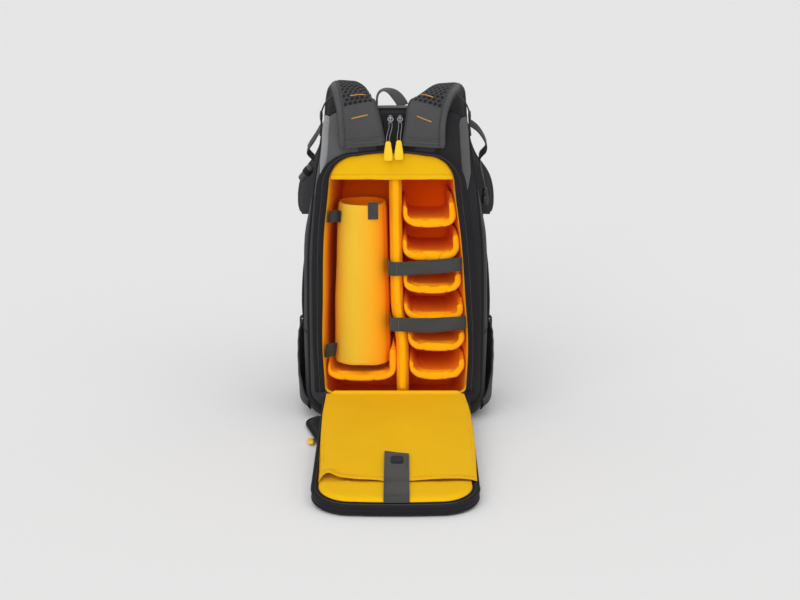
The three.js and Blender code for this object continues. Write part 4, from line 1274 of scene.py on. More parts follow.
# lining pad of the open panel: flat under the sleeve, plump past its mouth
def flap_pad():
    mid = np.array([0.0, 190.0])
    R = []
    for t in (0.03, 0.3, 0.6, 0.9):
        q = mid + (flap_outline(14, 2.0) - mid) * t
        R.append(lay(np.column_stack([q, np.full(len(q), -2.0)])))
    for inset, h in ((12.0, -2.1), (11.0, -1.7), (10.4, -1.0)):
        q = flap_outline(inset, 2.0)
        R.append(lay(np.column_stack([q, np.full(len(q), h)])))
    rings = [flap_outline(i_, 2.0) for i_ in (10.2, 10.6, 11.4, 12.6, 14.2, 16.2, 18.6, 21.5, 25, 30, 36)]
    rings += [mid + (flap_outline(36, 2.0) - mid) * t for t in (0.94, 0.88, 0.82, 0.76, 0.7, 0.62, 0.5, 0.35, 0.2, 0.03)]
    depth = [0.0, 0.5, 1.3, 2.5, 4.1, 6.1, 8.5, 11.4, 15, 20, 26] + [34.0] * 10
    for q, d in zip(rings, depth):
        x, s_ = q[:, 0], q[:, 1]
        end = smooth((s_ - 318) / 16)
        P = np.column_stack([x, s_, 0 * s_])
        h = -0.8 + (1 - math.exp(-d / 3.4)) * (0.7 + 4.6 * end)
        h = h + end * smooth(np.array(d / 6)) * (0.7 * quick_noise(P, 26.0, 11.0) + 0.3 * np.sin(x * 0.16 + 0.02 * s_))
        h = h + 0.3 * end * math.exp(-((d - 5) / 3.5) ** 2) * np.sin((x + 1.7 * s_) * 0.5)
        h = h - 0.7 * end * math.exp(-((d - 3.2) / 0.9) ** 2)
        R.append(lay(np.column_stack([x, s_, h])))
    return loft("lining_pad", R, M["yellow"], sharp=0)


place(flap_pad(), ["flap_lining"])


# sleeve on the open panel
def sleeve_span(s):
    """Left and right edge at a distance from the fold."""
    return (float(np.interp(s, [3, 85, 160, 335], [-114, -116, -114.5, -108.5])),
            float(np.interp(s, [3, 50, 90, 170, 215, 325], [111, 115.5, 118, 119, 118.5, 115.5])))


def sleeve_lift(x, s):
    a, b = sleeve_span(float(np.mean(s)))
    v = (x - (a + b) / 2) / ((b - a) / 2)
    return 7.2 * smooth(s / 210) * np.clip(1 - np.abs(v) ** 7, 0, 1) * (1 - 0.42 * np.exp(-(((x - 2) / 24) ** 2)))


def sleeve_end(x):
    table = rows("x s", """
    -109 333
    -104 322
    -97 316
    -76 324
    -46 331.5
    -18 333
    19 333.5
    59 330.5
    90 327
    115 323""")
    return soft_look(table, "x", "s", x)


def sleeve():
    nx, ns = 150, 150
    R = []
    for i in range(nx + 1):
        end = float(sleeve_end(lerp(-108.8, 115.5, i / nx)))
        top, bot = [], []
        up_x = float(smooth((109 - abs(lerp(-114, 111, i / nx))) / 9))
        for j in range(ns + 1):
            s = lerp(3 - 5.0 * up_x, end, (j / ns) ** 1.08)
            a, b = sleeve_span(s)
            x = lerp(a, b, i / nx)
            de = min(x - a, b - x)
            lift = float(sleeve_lift(x, min(s, 300)))
            edge = 1 - math.exp(-de / 5)
            soft = 0.6 * float(quick_noise(np.array([x, s, 0.0]), 60.0, 21.0)) + 0.2 * float(quick_noise(np.array([x, s, 9.0]), 24.0, 3.0))
            pull = 0.6 * math.sin((x - 2) * 0.12) * math.exp(-abs(s - 290) / 60) * math.exp(-(((x - 2) / 60) ** 2))
            # gathered folds run in from the sewn sides
            side = 0.6 * math.sin(s * 0.115 + 0.9 * math.sin(s * 0.03)) * math.exp(-de / 13)
            hem = 0.5 * math.exp(-((end - s - 9.5) / 1.0) ** 2) * -1
            roll = 0.9 * smooth((s - (end - 8)) / 4)
            h = 0.15 + max(0.0, lift + edge * smooth(s / 25) * (soft + side + pull)) + hem
            h += 3.4 * up_x * float(smooth((5 - s) / 7))
            thick = 1.5 + roll
            # left corner of the mouth stands open
            turn = 6.0 * math.exp(-(((x + 97) / 11) ** 2)) * smooth((s - 290) / 24)
            bot.append((x, s, h + turn))
            top.append((x, s, h + thick + turn))
        R.append(lay(top + bot[::-1]))
    return loft("device_sleeve", R, M["yellow"], sharp=60)


sl = sleeve()
place(sl, ["laptop_sleeve"])
hemline = []
for x in np.linspace(-94, 112, 130):
    if -18 < x < 21:
        continue
    e = float(sleeve_end(x))
    hemline.append(lay([(x, e - 9.5, 0.15 + float(sleeve_lift(x, min(e, 300))) + 1.55 + 6.0 * math.exp(-(((x + 97) / 11) ** 2)) * float(smooth((e - 299.5) / 24)))])[0])
hemline = np.array(hemline)
up_n = lay([(0, 0, 1)])[0] - lay([(0, 0, 0)])[0]
cut = int(np.argmax(np.diff(hemline[:, 0]) > 10)) + 1
hs = join("sleeve_thread", [stitches("s", part, up_n, M["thread_y"], pitch=3.2, length=2.3, r=0.28) for part in (hemline[:cut], hemline[cut:])])
place(hs, ())
side_seams = []
for k, sgn in ((0, -1), (1, 1)):
    for off in (1.5, 5.5):
        L = []
        for s in np.linspace(8, 300, 120):
            x = sleeve_span(s)[k] - sgn * off
            L.append(lay([(x, s, 1.75 + float(sleeve_lift(x, s)))])[0])
        side_seams.append(stitches("s", L, up_n, M["thread_y"], pitch=3.2, length=2.3, r=0.26))
place(join("sleeve_side_thread", side_seams), ())


# hook-and-loop tab and its plain patch
def tab_height(s):
    return float(np.interp(s, [228, 262, 300, 326, 333, 341, 350, 372, 380, 383, 385.5, 387, 387.8], [8.2, 8.3, 8.3, 7.8, 7.2, 5.2, 4.9, 4.6, 3.4, 2.4, 0.9, -0.9, -2.4]))


tc = np.array([lay([(1.5, s, tab_height(s) + 1.6)])[0] for s in list(np.linspace(387.8, 384, 10)) + list(np.linspace(383, 243, 88))])
tabw = ribbon("hook_tab", tc, (1, 0, 0), 36.0, 2.2, M["web_mid"], edge=0.3, cells=16, bend=lambda t, e: 0.25 * math.sin(8 * t + 2 * e) - 0.3 * abs(e) ** 3)


def slant(P):
    """The upper end of the tab is cut on a slant."""
    x, s, h = to_flap(P)
    s = s + 10.0 * np.clip((x + 16.5) / 36, 0, 1) * smooth((272 - s) / 28)
    return lay(np.column_stack([x, s, h]))


reshape_points(tabw, slant)
extra = []
for e in (-15.6, 15.6):
    extra.append(stitches("s", [lay([(1.5 + e, s, tab_height(s) + 2.95)])[0] for s in np.linspace(381, 250 + (8 if e > 0 else 0), 60)], up_n, M["thread"], pitch=2.8, length=1.9, r=0.26))
for s in (378.5, 299.0):
    extra.append(stitches("s", [lay([(1.5 + e, s, tab_height(s) + 2.95)])[0] for e in (-15.5, 15.5)], up_n, M["thread"], pitch=2.8, length=1.9, r=0.26))
place(join("hook_tab", [tabw] + extra), ["sleeve_tab"])


def rounded_slab(name, centre, ax, ay, az, sx, sy, sz, mat, r=0.25, n=10, power=5.0, crown=0.0):
    """Slab with rounded edges, its faces given by three unit directions and full sizes."""
    centre, ax, ay, az = (np.array(v, float) for v in (centre, ax, ay, az))
    R = []
    prof = [(-1, 0.0), (-1, 1 - r * 1.4), (-0.93, 1 - r * 0.45), (-0.7, 1 - 0.08 * r), (0.7, 1 - 0.08 * r), (0.93, 1 - r * 0.45), (1, 1 - r * 1.4), (1, 0.0)]
    for hz, k in prof[1:-1]:
        ringp = []
        for a in np.linspace(0, 2 * math.pi, 4 * n, endpoint=False):
            c, s = math.cos(a), math.sin(a)
            q = (abs(c) ** power + abs(s) ** power) ** (-1 / power)
            ringp.append(centre + ax * (c * q * sx / 2 * k) + ay * (s * q * sy / 2 * k) + az * (hz * sz / 2))
        R.append(ringp)
    return loft(name, R, mat, sharp=45)


def flap_dir():
    o = lay([(0, 0, 0)])[0]
    return lay([(1, 0, 0)])[0] - o, lay([(0, 1, 0)])[0] - o, lay([(0, 0, 1)])[0] - o


fx, fs_, fh = flap_dir()
bc = lay([(2, 276, tab_height(276) + 3.6)])[0]
badge = [rounded_slab("badge", bc, fx, fs_, fh, 18.5, 24.0, 1.9, M["dark"], r=0.16)]
frame_pts = []
for a in np.linspace(0, 2 * math.pi, 64, endpoint=False):
    c, s = math.cos(a), math.sin(a)
    q = (abs(c) ** 6 + abs(s) ** 6) ** (-1 / 6)
    frame_pts.append(bc + fx * (c * q * 7.6) + fs_ * (s * q * 10.2) + fh * 1.0)
badge.append(tube("bead", frame_pts, 0.45, M["dark"], sides=8, loop=True))
place(join("plain_patch", badge), ["tab_badge"])

# fold of the panel: cloth hinge between the base of the opening and the panel
R = []
for x in np.linspace(-113, 113, 60):
    pts = []
    for y, z in ((-97.4, 46.5), (-99.5, 48.8), (-102.5, 49.6), (-106, 49.0), (-112, 47.9)):
        pts.append((x, y, z - 0.5 + 0.3 * math.sin(x * 0.2)))
    low = [(x, y, z - 1.6) for x, y, z in pts[::-1]]
    R.append(pts + low)
place(loft("panel_hinge", R, M["yellow"], sharp=60), ())


# ------------------------------------------------------------ shoulder straps
STRAP_LEFT = rows("x y z width thick", """
-49 -106.5 457 66 9
-52 -109 488 61 11
-57 -105 516 56 13
-62.5 -89 536 56 14
-67 -60 545 58 14
-70 -18 545 60 14
-76 32 538 60 14
-84 76 524 60 14
-90 108 499 59 14
-94 125 466 58 14
-102 130 434 54 13
-118 131 402 47 13
-138 128 366 54 12
-145 124 330 50 11
-145 122 309 38 8""")
STRAP_RIGHT_X = [41.6, 43.8, 47.5, 56, 67, 74, 80, 86, 90, 94, 102, 118, 138, 145, 145]
STRAP_RIGHT_DROP = [0, 0, 1, 3, 4, 4, 3, 2, 1, 0, 0, 0, 0, 0, 0]


def strap_rows(sign):
    out = []
    for i, r in enumerate(STRAP_LEFT):
        r = dict(r)
        if sign > 0:
            r["x"] = STRAP_RIGHT_X[i]
            r["z"] -= STRAP_RIGHT_DROP[i]
            r["width"] -= 5 if i < 2 else 0
        out.append(r)
    return out


def shoulder_strap(side, sign):
    table = strap_rows(sign)
    A = np.array([[r["x"], r["y"], r["z"], r["width"], r["thick"]] for r in table])
    D = catmull(A, 1500)
    s = np.concatenate([[0], np.cumsum(np.linalg.norm(np.diff(D[:, :3], axis=0), axis=1))])
    total = s[-1]
    n = int(total / 1.3)
    q = np.linspace(0, total, n)
    D = np.stack([np.interp(q, s, D[:, k]) for k in range(5)], 1)
    t = np.interp(q, s, np.linspace(0, 1, len(s)))
    over = smooth((t - 0.12) / 0.12) * (1 - smooth((t - 0.45) / 0.2))
    across = np.stack([np.ones(n), -0.12 * sign * smooth((t - 0.6) / 0.3), 0.07 * sign * over], 1)
    C = D[:, :3]
    T, X, N = frames(C, across)
    out_n = -N
    w, h = D[:, 3] / 2 - 1.0, D[:, 4] / 2
    droop = (14.5 if sign < 0 else 12.5) * over

    def sunk(i, a):
        """How far the half nearer the middle hangs down over the top."""
        return droop[i] * max(0.0, (-sign * a - 0.08) / 0.92) ** 1.7

    face = np.linspace(-1, 1, 49)
    u = list(face) + [1.0, 1.0] + list(np.linspace(1, -1, 15)) + [-1.0, -1.0]
    R, info = [], []
    top_patch = float(np.interp(520 if sign < 0 else 519, C[: n // 3, 2], q[: n // 3]))
    hexes, tall = 8.0, 6.2
    dist = np.full((n, len(face)), 99.0)
    for i in range(n):
        ring_p = []
        half_h, half_w_ = h[i], w[i]
        end = 1 - 0.5 * math.exp(-q[i] / 2.0) - 0.6 * math.exp(-(total - q[i]) / 3.0)
        crown = half_h * end
        for j, a in enumerate(face):
            edge = (1 - abs(a) ** 7) ** 0.5
            z = crown * (0.62 + 0.38 * edge) * (edge * 0.75 + 0.25)
            x = a * half_w_
            if q[i] > top_patch + 1.0:
                if abs(a) < 0.83:
                    # offset rows of small hollows
                    r1 = q[i] / tall
                    row = round(r1)
                    best = 9
                    for rr in (row - 1, row, row + 1):
                        xo = (x / hexes) - (0.5 if rr % 2 else 0)
                        dx = (xo - round(xo)) * hexes
                        dz = (r1 - rr) * tall
                        best = min(best, (abs(dx * 0.8) ** 1.4 + abs(dz * 1.02) ** 1.4) ** (1 / 1.4))
                    dist[i, j] = best
                    z -= 2.3 * float(smooth((3.1 - best) / 1.6))
                z -= 1.0 * math.exp(-((abs(a) - 0.865) / 0.025) ** 2)
                z += 0.7 * float(smooth((abs(a) - 0.88) / 0.03))
            else:
                z += 0.5
                z -= 0.9 * math.exp(-((abs(a) - 0.93) / 0.025) ** 2)
                z += 0.3 * float(quick_noise(C[i] + X[i] * x, 26.0, 3.0 + sign))
                z -= 1.3 * math.exp(-((q[i] - 4.0) / 1.4) ** 2)
            if abs(q[i] - top_patch) < 2:
                z -= 0.7 * math.exp(-((q[i] - top_patch) / 0.9) ** 2)
            ring_p.append(C[i] + X[i] * x + out_n[i] * (z - sunk(i, a)))
        for b in (0.45, -0.35):
            ring_p.append(C[i] + X[i] * (half_w_ + 0.9) + out_n[i] * (b * crown - sunk(i, 1)))
        for a in np.linspace(1, -1, 15):
            ring_p.append(C[i] + X[i] * (a * half_w_) - out_n[i] * (crown * (0.72 * (1 - abs(a) ** 6) ** 0.5 + 0.25) + sunk(i, a)))
        for b in (-0.35, 0.45):
            ring_p.append(C[i] - X[i] * (half_w_ + 0.9) + out_n[i] * (b * crown - sunk(i, -1)))
        R.append(ring_p)

    def slot_of(i, j):
        if j < len(face) - 1:
            if q[i] <= top_patch:
                return 2
            if abs(face[j] + 0.02) < 0.83:
                # hollows of the mesh take the near-black cloth: painted shade in the hollows
                return 1 if dist[i, j] < 2.75 else 0
            return 3
        return 3 if j < len(face) + 2 or j > len(face) + 16 else 4
    ob = loft(f"shoulder_pad_{side}", R, [M["pad"], M["dark"], M["panel"], M["pad"], M["shell"]], slot_of=slot_of, sharp=0)
    place(ob, [f"shoulder_strap_{side}"])

    # rolled binding along the outer edge, fading out past the crest
    k = np.arange(0, int(np.argmax(t > 0.40)), 2)
    fade = 1 - smooth((t[k] - 0.27) / 0.11)
    start = np.clip(np.arange(len(k)) / 4 + 0.35, 0.15, 1)
    r = start * (1.2 + 3.0 * fade)
    L = C[k] + X[k] * (sign * (w[k] - 0.6 + 3.0 * fade))[:, None] + out_n[k] * (h[k] * 0.30)[:, None]
    roll = tube(f"strap_binding_{side}", L, r, M["binding"], sides=14)
    L2 = C[k] + X[k] * (sign * (w[k] - 0.6 + 5.6 * fade))[:, None] + out_n[k] * (h[k] * -0.15)[:, None]
    roll2 = tube("r2", L2, np.maximum(0.3, start * (0.8 + 2.1 * fade)), M["shell"], sides=12)
    beads = [roll, roll2]
    for e, first in ((1, int(k[-1]) - 6), (-1, 4)):
        m = np.arange(first, n - 4, 2)
        sink = np.array([sunk(i, e * sign) for i in m])
        L3 = C[m] + X[m] * (sign * e * (w[m] + 0.4))[:, None] + out_n[m] * (h[m] * 0.1 - sink)[:, None]
        beads.append(tube("r3", L3, 1.9, M["shell"], sides=10))
    place(join(f"strap_binding_{side}", beads), ())

    # sewn rows on the plain patch, and two bar tacks
    def surface(at_q, a, up):
        c = np.array([np.interp(at_q, q, C[:, e]) for e in range(3)])
        x = np.array([np.interp(at_q, q, X[:, e]) for e in range(3)])
        o = np.array([np.interp(at_q, q, out_n[:, e]) for e in range(3)])
        edge = (1 - abs(a) ** 7) ** 0.5
        z = float(np.interp(at_q, q, h)) * (0.62 + 0.38 * edge) * (edge * 0.75 + 0.25) + up
        z -= sunk(int(np.argmin(np.abs(q - at_q))), a)
        return c + x * (a * float(np.interp(at_q, q, w))) + o * z, o

    def row(qs, a0, a1, mat, q1=None, up=0.75, **kw):
        q1 = qs if q1 is None else q1
        got = [surface(lerp(qs, q1, f), lerp(a0, a1, f), up) for f in np.linspace(0, 1, 16)]
        return stitches("s", [g[0] for g in got], got[8][1], mat, **kw)
    rows_ = [
        row(7.5, -0.9, 0.9, M["thread_l"], pitch=2.8, length=2.0, r=0.26),
        row(15.5, -0.9, 0.9, M["thread"], pitch=2.8, length=2.0, r=0.3),
        row(7.5, -0.9, 0.9, M["thread"], q1=15.5, pitch=2.8, length=2.0, r=0.3),
        row(15.5, -0.9, 0.9, M["thread"], q1=7.5, pitch=2.8, length=2.0, r=0.3),
        row(top_patch - 2.2, -0.92, 0.92, M["thread"], pitch=2.8, length=2.0, r=0.3),
    ]
    place(join(f"strap_thread_{side}", rows_), ())
    tacks = []
    for z_at, a0, a1, skew in ((504, -0.47, 0.40, 1.0), (531.5, -0.33, 0.52, 0.0)) if sign < 0 else ((500.5, -0.42, 0.40, -5.5), (529.5, -0.52, 0.2, -2.0)):
        qs = float(np.interp(z_at, C[: n // 4, 2], q[: n // 4]))
        for d in (-0.5, 0.0, 0.5):
            tacks.append(row(qs + d - skew / 2, a0, a1, M["orange"], q1=qs + d + skew / 2, up=1.0, pitch=1.25, length=1.7, r=0.4))
    place(join(f"bar_tacks_{side}", tacks), ())
    return C, X, out_n, w, h, q


STRAPS = {side: shoulder_strap(side, sign) for side, sign in (("left", -1), ("right", 1))}

# ------------------------------------------------------------ harness webbing
LOWER_WEB = [(-142, 122, 302), (-146, 121, 262), (-152, 117, 214), (-155, 110, 160), (-153.5, 104, 118), (-151, 100, 88), (-149, 98, 62)]


def edge_rows(C, across, w, lift, mat, normal_sign, e=0.84, pitch=2.9):
    T, A, N = frames(C, across)
    w = np.broadcast_to(w, len(C))
    return [stitches("s", C + A * (k * w / 2)[:, None] + N * normal_sign * lift, N[len(C) // 2] * normal_sign, mat, pitch=pitch, length=2.0, r=0.25) for k in (-e, e)]


for side, sign in (("left", 1), ("right", -1)):
    P = [(x * sign, y, z) for x, y, z in [(-143.2, 121.6, 316)] + LOWER_WEB]
    C = resample(catmull(P, 200), 2.0)
    ac = (1, 0.5 * sign, 0)
    web = ribbon(f"lower_webbing_{side}", C, ac, 24, 2.0, M["web_black"], edge=0.35, bend=lambda t, e: 0.5 * math.sin(12 * t + e))
    more = edge_rows(C[8:-4], ac, 24, 1.0, M["thread"], 1) + edge_rows(C[8:-4], ac, 24, 1.0, M["thread"], -1)
    place(join(f"lower_webbing_{side}", [web] + more), [f"strap_webbing_{side}"])
    # ladder lock: a frame with three bars
    c, s = math.cos(0.42 * sign), math.sin(0.42 * sign)
    ctr = np.array([-157.1 * sign, 111.7, 118.0])
    ax, ay, az = np.array([c, s, 0]), np.array([-s, c, 0]), np.array([0, 0, 1.0])

    def bar(p, q, r, m="hard"):
        return tube("bar", resample([ctr + ax * p[0] + az * p[1] + ay * p[2], ctr + ax * q[0] + az * q[1] + ay * q[2]], 1.5), r, M[m], sides=12)
    loop = []
    for a in np.linspace(0, 2 * math.pi, 80, endpoint=False):
        cc, ss = math.cos(a), math.sin(a)
        k = (abs(cc) ** 5 + abs(ss) ** 5) ** (-1 / 5)
        loop.append(ctr + ax * (cc * k * 12.7) + az * (ss * k * 11.2))
    locks = [tube("ring", loop, 1.9, M["hard"], sides=12, loop=True)]
    for zz, yy in ((-4.6, 0.6), (3.4, -1.2), (7.4, 1.0)):
        locks.append(bar((-12.5, zz, yy), (12.5, zz, yy), 1.6))
    locks.append(bar((-7, 11.6, -1.6), (7, 11.6, -1.6), 1.5))
    place(join(f"lock_frame_{side}", locks), [f"ladder_lock_{side}"])

for side, sign in (("left", -1), ("right", 1)):
    P = [(sign * 97, -66, 534), (sign * 102, -66, 530), (sign * 111, -66, 521), (sign * 117, -67, 506), (sign * 117.4, -69, 488), (sign * 119.4, -70, 470)]
    C = resample(catmull(P, 120), 1.5)
    web = ribbon(f"lifter_{side}", C, (0, 1, 0), 20, 2.0, M["web_black"], edge=0.35)
    bits = [web] + edge_rows(C[2:-2], (0, 1, 0), 20, 1.05, M["thread"], 1) + edge_rows(C[2:-2], (0, 1, 0), 20, 1.05, M["thread"], -1)
    # small slide buckle on it
    i = int(np.argmin(np.abs(C[:, 2] - 501)))
    T, A, N = frames(C, (0, 1, 0))
    loop = []
    for a in np.linspace(0, 2 * math.pi, 60, endpoint=False):
        cc, ss = math.cos(a), math.sin(a)
        k = (abs(cc) ** 4 + abs(ss) ** 4) ** (-1 / 4)
        loop.append(C[i] + A[i] * (cc * k * 11.5) + T[i] * (ss * k * 6.5))
    bits.append(tube("b", loop, 1.7, M["hard"], sides=10, loop=True))
    bits.append(tube("b", resample([C[i] - A[i] * 11, C[i] + A[i] * 11], 2), 2.3, M["hard"], sides=10))
    place(join(f"lifter_{side}", bits), [f"load_lifter_{side}"])

# grab handle
P = np.array([(-29.2, -70, 516), (-29, -70, 520), (-28.5, -70, 530), (-25.5, -69, 537.5), (-19, -68, 541.5), (-11, -67, 540.5), (-3, -67, 536.5), (4.5, -68, 529.5), (10, -69, 521.5), (12, -69.5, 517)], float)
C = resample(catmull(P, 200), 1.2)
k = np.linspace(0, 1, len(C))[:, None]
turned = smooth((k - 0.3) / 0.5)
ac = np.array([[0.0, 1.0, 0.0]]) * (1 - 0.5 * turned) + np.array([[0.66, 0.0, 0.57]]) * turned
hw_ = 17.5 + 1.5 * np.cos(2 * math.pi * k[:, 0])
web = ribbon("handle_strap", C, ac, hw_, 3.0, M["web_grey"], edge=0.45, cells=12, bend=lambda t, e: 1.1 * (1 - abs(e) ** 2) * math.sin(math.pi * t))
place(join("handle_strap", [web] + edge_rows(C[3:-3], ac[3:-3], hw_[3:-3], 1.4, M["thread"], 1, e=0.8) + edge_rows(C[3:-3], ac[3:-3], hw_[3:-3], 1.4, M["thread"], -1, e=0.8)), ["grab_handle"])

# binding and grab tape across the top of the harness face
top_tape = []
for x in np.linspace(-84, 82, 120):
    s = station(BODY, -86.0)
    P = outline(s, BODY_SIDE, 0.8)[-31:]
    top_tape.append((x, -86.2, float(np.interp(abs(x), P[::-1, 0], P[::-1, 1])) + 0.1))
top_tape = resample(top_tape, 2.0)
tape = ribbon("top_binding", top_tape, (0, 1, 0.3), 11, 2.0, M["strip"], edge=0.4)
place(join("top_binding", [tape] + edge_rows(top_tape, (0, 1, 0.3), 11, 1.1, M["thread"], 1)), ())


# narrow lighter bands down the two rear corners; the left one is brightened as painted highlight, the right one
# darkened as painted shade
def corner_band(name, pts, width, mat, across):
    C = resample(catmull(pts, 160), 2.0)
    w = width * np.clip(np.minimum(1, (np.arange(len(C))[::-1] + 3) / 16), 0.12, 1)
    a = ribbon(name, C, across, w, 2.4, mat, edge=0.5, cells=10, bend=lambda t, e: 0.5 * (1 - e * e))
    return place(a, ())


corner_band("corner_band_left", [(-104.5, -95.0, 503), (-107.6, -97.4, 494), (-109.6, -98.4, 478), (-110.6, -98.6, 460), (-112.6, -98.6, 440), (-115.2, -98.8, 424), (-118.4, -99.5, 408)], 10.5, M["strip_light"], (1, 0.35, -0.1))
corner_band("corner_band_right", [(104.5, -95.5, 501), (107.0, -98.4, 486), (109.0, -98.8, 460), (110.4, -98.8, 440), (111.6, -99.0, 424), (112.6, -99.2, 405), (113.4, -99.2, 388)], 14, M["strip_dim"], (1, -0.3, 0))

# ------------------------------------------------------------- zip sliders
for side in ("left", "right"):
    x, lean, low = PULLS[side]
    parts = [rounded_slab("sl", (x, -102.2, 500), (1, 0, 0), (0, 0, 1), (0, 1, 0), 8.3, 12.8, 3.6, M["metal"], r=0.3, power=3.0)]
    parts.append(rounded_slab("sl2", (x, -104.3, 500), (1, 0, 0), (0, 0, 1), (0, 1, 0), 4.6, 9.6, 1.6, M["metal"], r=0.5, power=2.6))
    arch = catmull([(x, -103.8, 505), (x, -106.4, 504.2), (x, -108.9, 501.5), (x, -109.2, 498.2), (x, -107.4, 494.9), (x, -104.4, 493.6), (x, -103.6, 494)], 40)
    parts.append(tube("sl3", arch, 0.72, M["metal_light"], sides=10))
    eye = [(x + 4.1 * math.cos(a), -105.6 + 0.6 * math.sin(a), 499.6 + 2.7 * math.sin(a)) for a in np.linspace(0, 2 * math.pi, 48, endpoint=False)]
    parts.append(tube("sl4", eye, 0.7, M["metal_light"], sides=10, loop=True))
    place(join(f"slider_{side}", parts), [f"zip_slider_{side}"])

# the closed run of zip from the sliders down to the band, in a dark placket
P = [(x, -97.8 - 1.4 * math.sin(math.pi * k), z) for k, z in zip(np.linspace(0, 1, 40), np.linspace(455, 508, 40)) for x in (-1.2,)]
C = resample(P, 2)
place(ribbon("zip_placket", C, (1, 0, 0), 34, 1.6, M["rim"], edge=0.4, cells=14), ())

# -------------------------------------------------------------- side pockets
MOUTH = rows("y z", """
-86 34
-70 58
-50 84
-25 108
10 128
45 137
76 140""")


def corner_in(y, z):
    s = station(BODY, y)
    d = s["zb"] + s["rb"] - z
    return 0.0 if d <= 0 else s["rb"] - math.sqrt(max(0.0, s["rb"] ** 2 - d**2))


for side, sign in (("left", -1), ("right", 1)):
    def at(u, v, t):
        y = lerp(-84, 70, u)
        z0 = 12 + 18 * float(smooth((-62 - y) / 22))
        zm = float(soft_look(MOUTH, "y", "z", y))
        z = lerp(z0, zm, v)
        bulge = 8.4 * max(0.0, math.sin(math.pi * min(1, max(0, u)))) ** 0.45 * float(smooth(v / 0.28 + 0.02))
        s = station(BODY, y)
        x = side_w(BODY_SIDE, s["w"], max(z, 40)) - corner_in(y, z) + 1.7 + bulge + t
        # gathers under the elastic mouth
        x += 0.35 * math.sin(u * 44) * math.exp(-(1 - v) / 0.07) * math.sin(math.pi * u) ** 0.3 if 0 < u < 1 else 0
        x += 0.5 * math.sin(u * 9 + v * 7) * bulge / 8.4
        return np.array([sign * x, y, z])

    nu, nv = 90, 64
    R = []
    for i in range(nu + 1):
        u = i / nu
        R.append([at(u, j / nv, 0.2) for j in range(nv + 1)] + [at(u, j / nv, 1.7) for j in range(nv, -1, -1)])
    R = np.array(R)
    # the right pocket takes the darker copy of the cloth: painted shade
    pocket = loft(f"stretch_pocket_{side}", R, M["stretch" if sign < 0 else "stretch_dim"], sharp=60)
    place(pocket, [f"side_pocket_{side}"])
    mouth = np.array([at(u, 1.0, 0.9) for u in np.linspace(0.0, 1, 120)])
    hem = ribbon(f"pocket_hem_{side}", resample(mouth + [0, 0, -4.2], 2.0), (0, 0, 1), 8.5, 3.0, M["shell"], edge=0.6)
    hs2 = [stitches("s", resample(mouth + [sign * 1.75, 0, dz], 2.0), (sign, 0, 0), M["thread"], pitch=3.0, length=2.0, r=0.28) for dz in (-7.6, -1.2)]
    foot = tube("f", [at(u, 0.0, 1.0) for u in np.linspace(0, 1, 80)], 1.5, M["rim"], sides=8)
    hem = place(join(f"pocket_hem_{side}", [hem, foot] + hs2), ())
    G = R[:, : nv + 1]
    d1, d2 = np.diff(G, axis=0)[:, :-1], np.diff(G, axis=1)[:-1]
    area = float(np.linalg.norm(np.cross(d1, d2), axis=2).sum()) * 1e-6


# ------------------------------------------------- compression straps, buckles
def round_box(name, centre, ax, ay, az, sx, sy, sz, mat, power=4.0, n=14, ends=10, taper=0.0):
    """Soft-cornered block: superellipse rings along az that close smoothly."""
    centre, ax, ay, az = (np.array(v, float) for v in (centre, ax, ay, az))
    ax, ay, az = unit(ax), unit(ay), unit(az)
    R = []
    for t in np.linspace(-1, 1, 2 * ends + 1):
        b = math.copysign(abs(math.sin(t * math.pi / 2)) ** 0.7, t)
        k = max(0.02, (1 - abs(b) ** power)) ** (1 / power)
        k *= 1 - taper * (b + 1) / 2
        ringp = []
        for a in np.linspace(0, 2 * math.pi, 4 * n, endpoint=False):
            c, s = math.cos(a), math.sin(a)
            q = (abs(c) ** power + abs(s) ** power) ** (-1 / power)
            ringp.append(centre + ax * (c * q * sx / 2 * k) + ay * (s * q * sy / 2 * k) + az * (b * sz / 2))
        R.append(ringp)
    return loft(name, R, mat, sharp=0)


COMP = {
    "left": [(-119, -38, 482), (-129, -31, 464), (-141, -16, 446), (-143, -4, 436), (-134, 5, 424)],
    "right": [(120, -30, 486), (134, -24, 475), (146, -14, 456), (148, -3, 441), (139, 7, 427), (141, 22, 408), (147, 38, 384), (150, 48, 372)],
}
for side, P in COMP.items():
    C = resample(catmull(P, 160), 1.6)
    ac = (0, 1, 0.6)
    web = ribbon(f"side_strap_{side}", C, ac, 18, 2.0, M["web_black"], edge=0.35, bend=lambda t, e: 0.4 * math.sin(9 * t + 2 * e))
    place(join(f"side_strap_{side}", [web] + edge_rows(C[2:-2], ac, 18, 1.05, M["thread"], 1) + edge_rows(C[2:-2], ac, 18, 1.05, M["thread"], -1)), [f"compression_strap_{side}"])

# left: a strap end rolled up and held by its elastic keeper
rolls = []
ctr = np.array([-147.5, 16, 398.0])
ax_ = unit(np.array([-0.62, 0.1, -0.78]))
roll_pts = []
for k in np.linspace(0, 1, 150):
    a = k * 2 * math.pi * 2.6
    rr = 1.9 + 4.2 * k
    roll_pts.append((rr * math.cos(a), rr * math.sin(a) * 1.25))
bx = unit(np.cross(ax_, [0, 1, 0]))
by = np.cross(ax_, bx)
C = np.array([ctr + bx * p + by * q * 1.6 for p, q in roll_pts])
rolls.append(ribbon("roll", C, ax_, 29, 1.7, M["web_grey"], edge=0.4, cells=12))
keeper = []
for a in np.linspace(0, 2 * math.pi, 60, endpoint=False):
    keeper.append(ctr + bx * (7.2 * math.cos(a)) + by * (12.2 * math.sin(a)) + ax_ * -3)
rolls.append(ribbon("keep", np.array(keeper + keeper[:1]), ax_, 9, 1.5, M["rim"], edge=0.5))
place(join("rolled_strap_end", rolls), ["side_buckle_left"])

